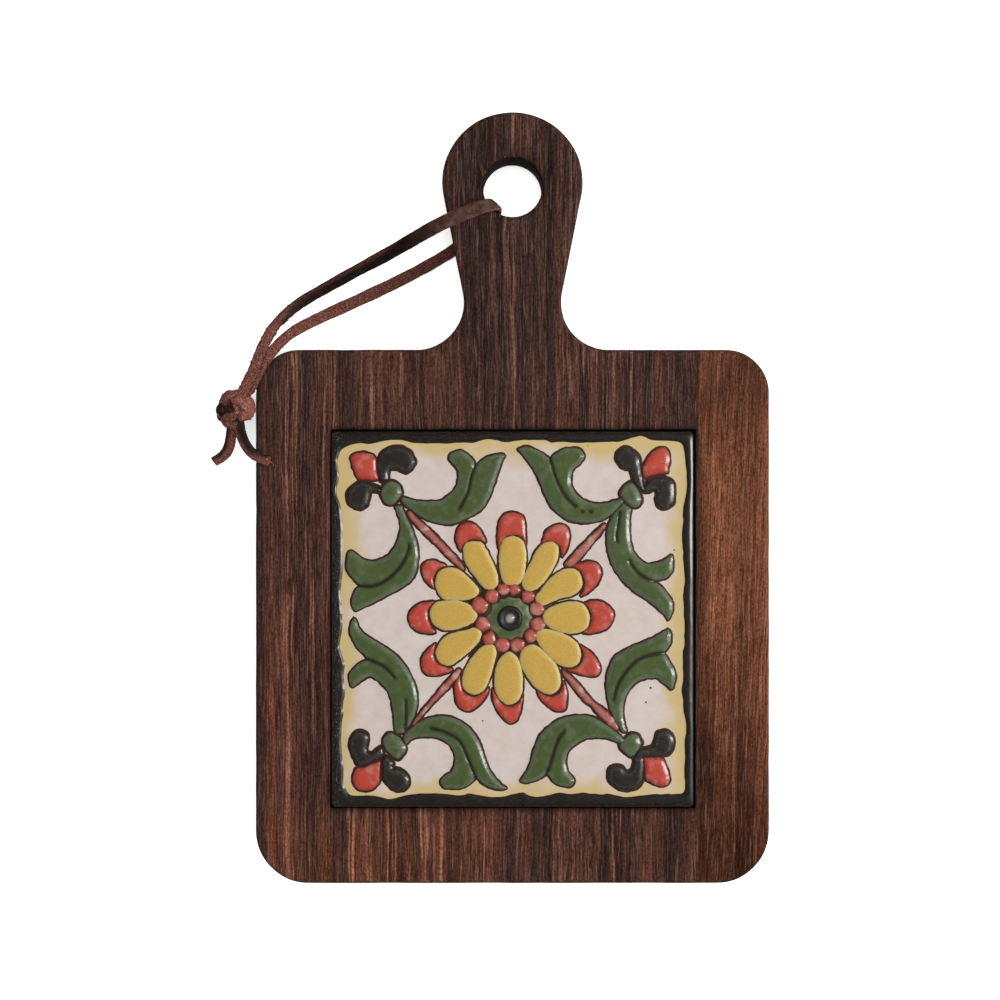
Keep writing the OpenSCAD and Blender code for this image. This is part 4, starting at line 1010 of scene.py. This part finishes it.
# %% Border
INNER_EDGE = [(-48.2, 44.8), (-46.6, 47.4), (-42.5, 48.7), (-40.2, 48.4), (-38.2, 48.6), (-36.2, 49.2),
              (-31.5, 49.6), (-26.7, 48.7), (-18.9, 48.6), (-14.9, 48.8), (-11, 48.7), (-9, 49.3), (-6.6, 49.7),
              (-4.2, 49.5), (-1.9, 48.9), (4.4, 49.6), (9.2, 49.4), (10.7, 48.8), (12.7, 49), (19, 48.8),
              (26.9, 49), (30.1, 49.2), (34.8, 50.6), (36.8, 50.2), (38.8, 49.5), (45.1, 49.2), (46.7, 48.6),
              (47.2, 47.5), (47.5, 45.2), (48.2, 37.4), (47.1, 30.2), (47.1, 27.1), (46.7, 22.4), (47, 20),
              (47.1, 16.8), (47.6, 10.9), (47.2, 8.1), (47.1, 5.8), (47.4, 3.4), (47.2, 1.2), (47.5, -1.1),
              (47.4, -6.6), (47, -9), (47.2, -14.5), (47.1, -17.3), (46.7, -19.3), (47.1, -22.4), (47.1, -24.8),
              (48, -29.5), (47.5, -34.3), (47.6, -38.2), (47.4, -42.2), (47.6, -45.3), (47.4, -47.6),
              (44.7, -48.2), (42.7, -48.1), (40.7, -48.3), (38.8, -48.2), (31.7, -49), (26.9, -48.1),
              (24.6, -48.2), (21.4, -48.1), (19.6, -47.7), (16.3, -48.2), (13.9, -47.9), (11.5, -48), (9.6, -48.6),
              (7.6, -48.9), (5.2, -48.8), (3.6, -48.1), (1.7, -47.9), (-4.6, -49.1), (-11.7, -48.1),
              (-14.1, -48.6), (-21.2, -48), (-28.3, -48.4), (-32.7, -49.5), (-34.6, -49.5), (-39, -48.6),
              (-41.7, -48.7), (-44.5, -48.5), (-45.7, -47.4), (-46.5, -45.7), (-46.8, -43.7), (-46.6, -41.4),
              (-47.3, -34.3), (-47.1, -28.7), (-46.7, -26.4), (-46.8, -24), (-46.2, -19.7), (-46.5, -17.7),
              (-46.5, -14.5), (-46.3, -12.2), (-47.5, -8.6), (-47.7, -6.6), (-46.9, -1.1), (-47.3, 5),
              (-47.5, 8.1), (-46.9, 12.9), (-46.9, 24.7), (-47.5, 31.4), (-48.4, 33.8), (-48.6, 36.2), (-48, 38.5),
              (-47.9, 40.5), (-48.4, 43.1)]


def rounded_box(low, high, radius):
    centres = [(low[0] + radius, low[1] + radius), (high[0] - radius, low[1] + radius),
               (high[0] - radius, high[1] - radius), (low[0] + radius, high[1] - radius)]
    return np.vstack([arc(c, radius, 180 + 90 * k, 270 + 90 * k, 12) for k, c in enumerate(centres)])


def by_angle(outline, count):
    """Points of a closed outline round the tile's middle, one at each of equally spread square-wise angles."""
    fine = resample(outline, 0.1) - TILE_C[:2]
    turn = np.arctan2(fine[:, 1] / TILE_L, fine[:, 0] / TILE_W)
    order = np.argsort(turn)
    marks = np.linspace(-math.pi, math.pi, count, endpoint=False)
    found = [np.interp(marks, turn[order], fine[order, k], period=2 * math.pi) for k in (0, 1)]
    return TILE_C[:2] + np.stack(found, 1)


LOOP = 720
OVER_SIDE, CORNER_R = 0.04, 1.0
outer = by_angle(rounded_box(TILE_LOW[:2] - OVER_SIDE, TILE_HIGH[:2] + OVER_SIDE, CORNER_R), LOOP)
inner = by_angle(waver(smooth(INNER_EDGE, 5, True) + TILE_C[:2], 0.2, 1.5, 11.0), LOOP)
# Share of the way from the outer to the inner loop, height over the ground, depth of the glaze.
PROFILE = [(0.0, -2.6, 0.5), (0.0, -1.3, 0.6), (0.03, -0.6, 0.7), (0.1, -0.05, 0.8), (0.22, 0.3, 0.9),
           (0.4, 0.42, 1.0), (0.7, 0.42, 1.0), (0.88, 0.3, 0.7), (1.0, -0.04, 0.2), (0.6, -0.3, 1.0),
           (0.35, -2.6, 1.0)]
border = Sheet()
border.put(*band([at_height(outer + (inner - outer) * share, FIELD_Z + rise) for share, rise, _ in PROFILE]),
           np.repeat([depth for _, _, depth in PROFILE], LOOP))
# The left side is chipped most.
rubbed_side = TILE_LOW[0] + 2.6
border.make("border", border_black, "border_glaze", "black_glaze",
            [0.7 if x < rubbed_side else 0.2 for x, _, _ in border.points])

# %% [markdown]
# ## Lace
# The lace is a strip of leather, 3.4 mm wide, drawn through the hole and knotted. One face is smooth and nearly
# black, the grain side, with the dull shine of oil. The other face and the cut edges are a reddish nap, which swallows
# the light. Two attributes on the points say how much a place is nap, and by what factor its tone is scaled. The
# factor is partly the leather's own tone and partly painted light: a painted sheen near the hole and painted shade
# on the edges towards the knot.

# %% Lace finish
def leather():
    """Smooth and nearly black where the attribute flesh is 0, a red-brown nap where it is 1."""
    finish, tree, shader, mm = new_material("oiled_split_leather")
    flesh = add(tree, "Attribute", {"attribute_name": "flesh"})
    nap = add(tree, "TexNoise", None, {"Vector": mm, "Scale": 2.4, "Detail": 6.0, "Roughness": 0.75})
    cloud = add(tree, "TexNoise", None, {"Vector": mm, "Scale": 0.5, "Detail": 3.0})
    smooth_side = add(tree, "ValToRGB", None, {"Fac": cloud},
                      [(0.35, "#180d09"), (0.7, "#251b17")])
    napped = add(tree, "ValToRGB", None, {"Fac": nap},
                 [(0.3, "#1f0e0a"), (0.5, "#4e2c25"), (0.7, "#92635a")])
    edge = add(tree, "Math", {"operation": "MULTIPLY_ADD"}, {0: nap, 1: 0.5, 2: -0.25})
    shade = add(tree, "Attribute", {"attribute_name": "shade"})
    where = add(tree, "Math", {"operation": "ADD", "use_clamp": True},
                {0: flesh.outputs["Fac"], 1: edge})
    colour = add(tree, "Mix", {"data_type": "RGBA"},
                 {0: where, 6: smooth_side, 7: napped})
    dull = add(tree, "MapRange", None, (where, 0.0, 1.0, 0.42, 0.95))
    lift = add(tree, "Math", {"operation": "MULTIPLY"}, {0: nap, 1: where})
    # The colour is scaled by the shade attribute: the leather's own tone, with painted sheen and painted shade.
    shaded_tone = add(tree, "VectorMath", {"operation": "SCALE"},
               {0: colour.outputs[2], "Scale": shade.outputs["Fac"]})
    join_shader(tree, shader, shaded_tone, dull, lift, 0.35, 0.8)
    shader.inputs["Specular IOR Level"].default_value = 0.12
    return finish


lace_leather = leather()


def lace_piece(name, points, faces, flesh, shade):
    obj = piece(name, points, faces, lace_leather, 70)
    paint_points(obj, "flesh", flesh)
    paint_points(obj, "shade", shade)
    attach(obj, "lace")
    print(name, len(faces), "faces")
    return obj


# %% [markdown]
# ## Routes of the lace
# The route repeats the model's own points. The two halves, over and under the handle, are two cords that leave the
# hole and end in the knot, and two tails hang from it. Each is a flat section, swept along its route with one side
# held level. It varies in width, turns its smooth face slowly away, and frays towards the knot.

# %% Lace routes
ROUTE = [(-76.4, 25.6, 19.7), (-73.8, 30, 20.5), (-71, 35.5, 20.7), (-69, 41, 20.7), (-66.8, 45.5, 20),
         (-63.5, 49.7, 19), (-58.5, 54, 18), (-51, 58.5, 17.2), (-43, 63, 17), (-34.5, 67.5, 17.4),
         (-26.5, 72, 18.2), (-19.5, 75.8, 18.8), (-12, 79, 18.9), (-8.2, 80.4, 18.9), (-5.8, 81, 18.2),
         (-4.7, 81.1, 16), (-4.6, 81.1, 10), (-4.6, 81.1, 4), (-5.4, 80.4, 1.6), (-8.2, 78, 1.4),
         (-12.5, 74, 1.4), (-16.5, 70.6, 1.4), (-20.5, 68, 1.5), (-25.5, 65, 2.8), (-31, 61.8, 5.2),
         (-37.5, 58.2, 8.4), (-45.5, 54, 12.4), (-54, 49.6, 16.4), (-60.5, 45.9, 18.4), (-65, 42, 18.7),
         (-68.5, 37.5, 18.7), (-71.3, 32.5, 18.6), (-74.2, 28, 18.1), (-76.8, 25, 17.4)]
TAIL_OUTER = [(-76.8, 24, 17), (-77.8, 19, 16.8), (-78.6, 14.5, 16.2), (-80.2, 11.8, 15.6), (-83, 10, 15)]
TAIL_INNER = [(-76, 24, 18.6), (-75, 17.5, 18.9), (-72.8, 13.2, 19), (-70, 11, 18.8), (-67, 10, 18.7)]
LACE_W, LACE_T = 3.4, 1.6
MIDDLE = 16  # the route's point in the hole
LEVEL = (0.73, -0.68, 0)
SECTION = [(math.copysign(abs(math.cos(a)) ** 0.45, math.cos(a)),
            math.copysign(abs(math.sin(a)) ** 0.6, math.sin(a)))
           for a in np.linspace(0, 2 * math.pi, 20, endpoint=False)]


def headings(path):
    """The direction of a path at each of its points."""
    run = np.gradient(path, axis=0)
    return run / np.linalg.norm(run, axis=1, keepdims=True)


def ribbon(name, route, side, twist, grain_at, widths, shades, seed, frayed=1.0):
    """Sweeps the lace along a route. The pairs give a value by share of length: twist turns the strip, grain_at turns
    its smooth face, widths and shades scale its width and its tone. The edges fray past the share frayed."""
    path = resample(smooth(route, 8), 0.55, closed=False)
    rings, flesh, shade = [], [], []
    for i, (p, t) in enumerate(zip(path, headings(path))):
        share = i / (len(path) - 1)
        across = np.asarray(side, float) - np.dot(side, t) * t
        across /= np.linalg.norm(across)
        up = np.cross(t, across)
        a = math.radians(np.interp(share, *zip(*twist)))
        across, up = across * math.cos(a) + up * math.sin(a), up * math.cos(a) - across * math.sin(a)
        g = math.radians(np.interp(share, *zip(*grain_at)))
        w = LACE_W * np.interp(share, *zip(*widths)) * (1 + 0.07 * noise.noise((p[0] / 5, p[1] / 5, seed)))
        h = LACE_T * (1 + 0.1 * noise.noise((p[0] / 4, p[1] / 4, seed + 3)))
        tufts = 0.05 + 0.3 * min(max(share - frayed, 0) / 0.08, 1)
        ring = []
        for u, v in SECTION:
            rough = 1 + tufts * noise.noise((p[0] * 1.3 + u, p[1] * 1.3 + v, seed + 9))
            ring.append(p + (across * u * w / 2 + up * v * h / 2) * rough)
            faces_grain = (u * math.cos(g) + v * math.sin(g)) / math.hypot(u, v)
            flesh.append(np.clip((0.55 - faces_grain) / 0.35, 0, 1))
            tone = min(np.interp(share, *zip(*shades)), 4.0 - 2.6 * flesh[-1])
            # Towards the frayed end the edges are painted darker: painted shade that makes the strip look round.
            shade.append(tone * (1 - 1.5 * (tufts - 0.05) * u ** 4))
        rings.append(np.array(ring))
    obj = lace_piece(name, *loft(rings), flesh, shade)
    length = np.linalg.norm(np.diff(path, axis=0), axis=1).sum()
    print(name, "length", round(length, 1), "mm")
    return obj, path, length


front, front_path, front_l = ribbon(
    "lace_front", ROUTE[MIDDLE::-1], LEVEL, twist=[(0, 0), (1, 0)],
    grain_at=[(0, 90), (0.32, 80), (0.42, 45), (0.7, 25), (0.8, -50), (1, -90)],
    widths=[(0, 1.1), (0.3, 1.15), (0.5, 1), (0.75, 0.85), (1, 0.95)],
    # The high factor near the hole is a painted sheen.
    shades=[(0, 4.0), (0.2, 3.8), (0.29, 1.2), (0.36, 0.5), (0.65, 0.5), (0.78, 1.4), (1, 1.8)],
    seed=1.0, frayed=0.66)
rear, rear_path, rear_l = ribbon(
    "lace_rear", ROUTE[MIDDLE:], LEVEL, twist=[(0, 0), (1, 0)], grain_at=[(0, -90), (1, -90)],
    widths=[(0, 1), (0.6, 1), (0.8, 0.85), (1, 0.9)],
    shades=[(0, 0.8), (0.45, 0.85), (0.7, 1.2), (1, 1.6)], seed=5.0, frayed=0.78)
tail_outer, _, _ = ribbon(
    "lace_tail_left", TAIL_OUTER, LEVEL, twist=[(0, 0), (1, -25)], grain_at=[(0, 170), (1, 170)],
    widths=[(0, 0.95), (1, 0.85)], shades=[(0, 1.0), (1, 1.5)], seed=8.0)
tail_inner, _, _ = ribbon(
    "lace_tail_right", TAIL_INNER, (0.77, 0.64, 0), twist=[(0, 0), (1, 0)],
    grain_at=[(0, 60), (0.5, 50), (0.8, 20), (1, -30)],
    widths=[(0, 0.9), (1, 0.8)], shades=[(0, 0.8), (0.6, 1.0), (1, 1.4)], seed=12.0)

# %% [markdown]
# ## Knot
# Both strands were tied together in one overhand knot and drawn tight, so only its outer turns show, each as a fat
# fold of leather. A fold is a short strap on a curved path, its flat side turned away from the knot's middle, and
# its ends sink into the lump below. The folds of the underside are the upper ones, mirrored and turned a little.

# %% Knot
KNOT_C = np.array((-76.25, 24.3, 18.2))
# Cosine and sine of some 20 degrees, by which the folds below are turned.
UNDER_TURN = (0.94, 0.34)
# The path of each fold from the knot's middle, its width, its thickness, its nap and its tone.
FOLDS = [([(1.5, 3.4, 0.6), (0.2, 3.9, 1.5), (-1.6, 3.8, 2.0), (-2.8, 3.0, 1.8), (-2.6, 2.0, 1.1), (-1.2, 1.4, 0.4)],
          3.0, 2.6, 1.0, 1.3),
         ([(-0.8, 2.6, 1.0), (0.8, 2.6, 2.1), (2.5, 1.6, 2.5), (3.2, -0.1, 2.2), (2.4, -1.7, 1.6), (1.0, -2.5, 0.5)],
          4.4, 2.6, 1.0, 2.1),
         ([(0.0, 1.7, 1.6), (1.0, 0.4, 2.4), (0.9, -1.4, 1.7)], 3.2, 2.2, 1.0, 1.9),
         ([(-2.2, 1.3, 0.9), (-3.9, 1.0, 0.9), (-4.5, -0.2, 1.0), (-3.6, -1.4, 1.0), (-1.8, -1.5, 1.2)],
          2.6, 2.4, 0.0, 1.0),
         ([(-2.8, 0.8, 1.3), (-1.9, -0.2, 2.0), (-1.2, -1.2, 1.6)], 2.2, 2.0, 0.0, 1.2),
         ([(0.6, -1.5, 1.8), (-1.2, -1.8, 2.0), (-2.5, -2.7, 1.7), (-2.5, -3.8, 1.1), (-1.2, -4.3, 0.8),
           (0.2, -3.7, 0.4)], 2.8, 2.4, 0.9, 1.2),
         ([(-2.4, 0.5, 0.4), (-1.0, 0.2, 0.6), (1.0, -0.2, 0.6), (2.4, -0.5, 0.4)], 6.6, 3.2, 0.3, 0.7)]


def folded(points, faces, flesh, shade, path, width, thick, nap, tone, seed):
    """Adds one strap of the knot to the lists of a mesh."""
    path = resample(smooth(path, 8), 0.28, closed=False)
    rings = []
    for i, (p, t) in enumerate(zip(path, headings(path))):
        up = p - np.dot(p, t) * t
        up /= np.linalg.norm(up)
        across = np.cross(up, t)
        end = 1 - 0.45 * (1 - min(1.0, 4 * i / len(path), 4 * (len(path) - 1 - i) / len(path))) ** 2
        ring = []
        for u, v in SECTION:
            lump = 1 + 0.2 * noise.noise((p[0] / 1.1 + u * 0.8, p[1] / 1.1 + v * 0.8, p[2] / 1.1 + seed))
            lump += 0.16 * noise.noise((p[0] * 1.9 + u * 1.5, p[1] * 1.9 + v * 1.5, seed))
            ring.append(KNOT_C + p + (across * u * width / 2 + up * v * thick / 2) * lump * end)
            flesh.append(nap if v > -0.2 else 0.5)
            shade.append(tone * (1 + 0.25 * noise.noise((p[0] * 0.9, p[1] * 0.9, seed))))
        rings.append(np.array(ring))
    start = len(points)
    ring_points, ring_faces = loft(rings)
    points.extend(ring_points)
    faces.extend(tuple(i + start for i in f) for f in ring_faces)


knot = [], [], [], []
along, aside = UNDER_TURN
for i, (path, *strap) in enumerate(FOLDS):
    folded(*knot, path, *strap, 3.0 * i)
    under = [(along * x - aside * y, aside * x + along * y, -z) for x, y, z in path]
    folded(*knot, under, *strap, 3.0 * i + 1.5)
tied = lace_piece("lace_knot_tied", *knot)
print("knot folds:", 2 * len(FOLDS))

# %% [markdown]
# ## Loose fibres
# Where the two strands rub on each other the nap has come up in loose fibres. Each is a thin three-sided taper.

# %% Loose fibres
FIBRE_R, FIBRE_TONE = 0.2, 2.6
ON_STRAND, ON_KNOT, ON_TAIL = 44, 16, 3
chance = random.Random(9)
# The root of each fibre, with its least and its greatest length.
roots = [(front_path[int(len(front_path) * chance.uniform(0.7, 1.0)) - 1], 2.3, 3.9) for _ in range(ON_STRAND)]
roots += [(KNOT_C, 5.0, 6.2)] * ON_KNOT + [(np.array(TAIL_INNER[-1]), 0.9, 1.6)] * ON_TAIL
fibre_points, fibre_faces = [], []
for root, short, long in roots:
    aim = np.array([chance.uniform(-1, 1), chance.uniform(-1, 1), chance.uniform(-0.15, 0.15)])
    aim /= np.linalg.norm(aim)
    bend = np.cross(aim, (0, 0, 1)) * chance.uniform(-0.9, 0.9)
    reach = chance.uniform(short, long)
    sides = [np.cross(aim, (0.3, 0.2, 0.9)), np.cross(aim, (0.8, -0.5, 0.1))]
    rings = []
    for s in (0.0, 0.35, 0.7, 1.0):
        middle = root + (0, 0, 0.3) + aim * reach * s + bend * s * s
        thin = FIBRE_R * (1 - 0.8 * s)
        rings.append(np.array([middle + thin * (sides[0] * math.cos(a) + sides[1] * math.sin(a))
                               for a in (0, 2.1, 4.2)]))
    start = len(fibre_points)
    ring_points, ring_faces = loft(rings)
    turned_out = 1 if np.dot(np.cross(*sides), aim) > 0 else -1
    fibre_points.extend(ring_points)
    fibre_faces.extend(tuple(k + start for k in f)[::turned_out] for f in ring_faces)
fibres = lace_piece("lace_fibres", fibre_points, fibre_faces, np.ones(len(fibre_points)),
                    np.full(len(fibre_points), FIBRE_TONE))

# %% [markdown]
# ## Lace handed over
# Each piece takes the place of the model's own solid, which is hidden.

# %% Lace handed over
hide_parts("lace_loop")
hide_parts("lace_loop")
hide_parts("lace_knot")
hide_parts("lace_tail_outer")
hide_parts("lace_tail_inner")

# %% [markdown]
# ## Plain parts
# The clay under the glaze, the cured adhesive and the four rubber pads keep the model's own solids. They only need
# their finishes. Fired clay is porous, so it looks dry and cloudy. Cured adhesive is a dull, even grey. Rubber took a
# fine grain from its mould, so it has no shine.

# %% Plain finishes
def plain(name, low, high, scale, roughness, depth_mm):
    """Two tones clouded into each other, scale times to the millimetre, with the same clouds as fine relief."""
    finish, tree, shader, mm = new_material(name)
    cloud = add(tree, "TexNoise", None, {"Vector": mm, "Scale": scale, "Detail": 5.0, "Roughness": 0.7})
    colour = add(tree, "ValToRGB", None, {"Fac": cloud}, [(0.3, low), (0.7, high)])
    join_shader(tree, shader, colour, roughness, cloud, depth_mm, 0.6)
    return finish


FEET = ("foot_near_left", "foot_near_right", "foot_far_left", "foot_far_right")
plain_finishes = {"tile_body": plain("fired_red_clay", "#8f6a56", "#b98f78", 1.2, 0.9, 0.1),
                  "tile_adhesive": plain("cured_adhesive", "#a79f90", "#c3bbab", 0.6, 0.7, 0.1)}
rubber = plain("moulded_rubber", "#1b1918", "#2c2927", 2.5, 0.8, 0.08)
plain_finishes.update({foot: rubber for foot in FEET})
for node_name, finish in plain_finishes.items():
    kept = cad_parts[node_name]
    kept.data.materials.clear()
    kept.data.materials.append(finish)
print("kept solids:", sorted(plain_finishes))

# %% [markdown]
# ## Studio
# A pale sheet that is faintly lit from below, which keeps shadows light, a broad soft light above and a long soft
# box on the right, which draws the bright line along the tile's right edge and the right-hand slopes of the glaze.

# %% Studio
floor_mesh = bpy.data.meshes.new("floor")
FLOOR = 3.0
floor_mesh.from_pydata([(-FLOOR, -FLOOR, 0), (FLOOR, -FLOOR, 0), (FLOOR, FLOOR, 0), (-FLOOR, FLOOR, 0)],
                       [], [(0, 1, 2, 3)])
floor = bpy.data.objects.new("floor", floor_mesh)
bpy.context.scene.collection.objects.link(floor)
sheet_finish = bpy.data.materials.new("lit_white_sheet")
sheet_finish.use_nodes = True
for socket, value in (("Base Color", linear("#f6f5f4")), ("Roughness", 0.9), ("Emission Color", (1, 1, 1, 1)),
                      ("Emission Strength", 0.5)):
    sheet_finish.node_tree.nodes["Principled BSDF"].inputs[socket].default_value = value
floor_mesh.materials.append(sheet_finish)

world = bpy.data.worlds.new("studio")
bpy.context.scene.world = world
world.use_nodes = True
world.node_tree.nodes["Background"].inputs["Color"].default_value = (1, 1, 1, 1)
world.node_tree.nodes["Background"].inputs["Strength"].default_value = 0.25
world.cycles_visibility.glossy = False


def soft_light(name, place, target, size, watts, mirrored):
    """A rectangular lamp, in metres, aimed at a target. It shows in shiny surfaces only if mirrored."""
    lamp = bpy.data.lights.new(name, "AREA")
    lamp.shape, lamp.size, lamp.size_y, lamp.energy = "RECTANGLE", size[0], size[1], watts
    obj = bpy.data.objects.new(name, lamp)
    bpy.context.scene.collection.objects.link(obj)
    obj.location = place
    obj.visible_glossy = mirrored
    obj.rotation_euler = (Vector(target) - Vector(place)).to_track_quat("-Z", "Y").to_euler()


soft_light("overhead", (0.0, 0.05, 1.3), (0, 0, 0), (0.7, 0.7), 14.3, False)
soft_light("right_box", (0.75, 0.02, 0.34), (0, -0.03, 0), (0.12, 1.2), 10.2, True)
bpy.context.scene.view_settings.view_transform = "Standard"
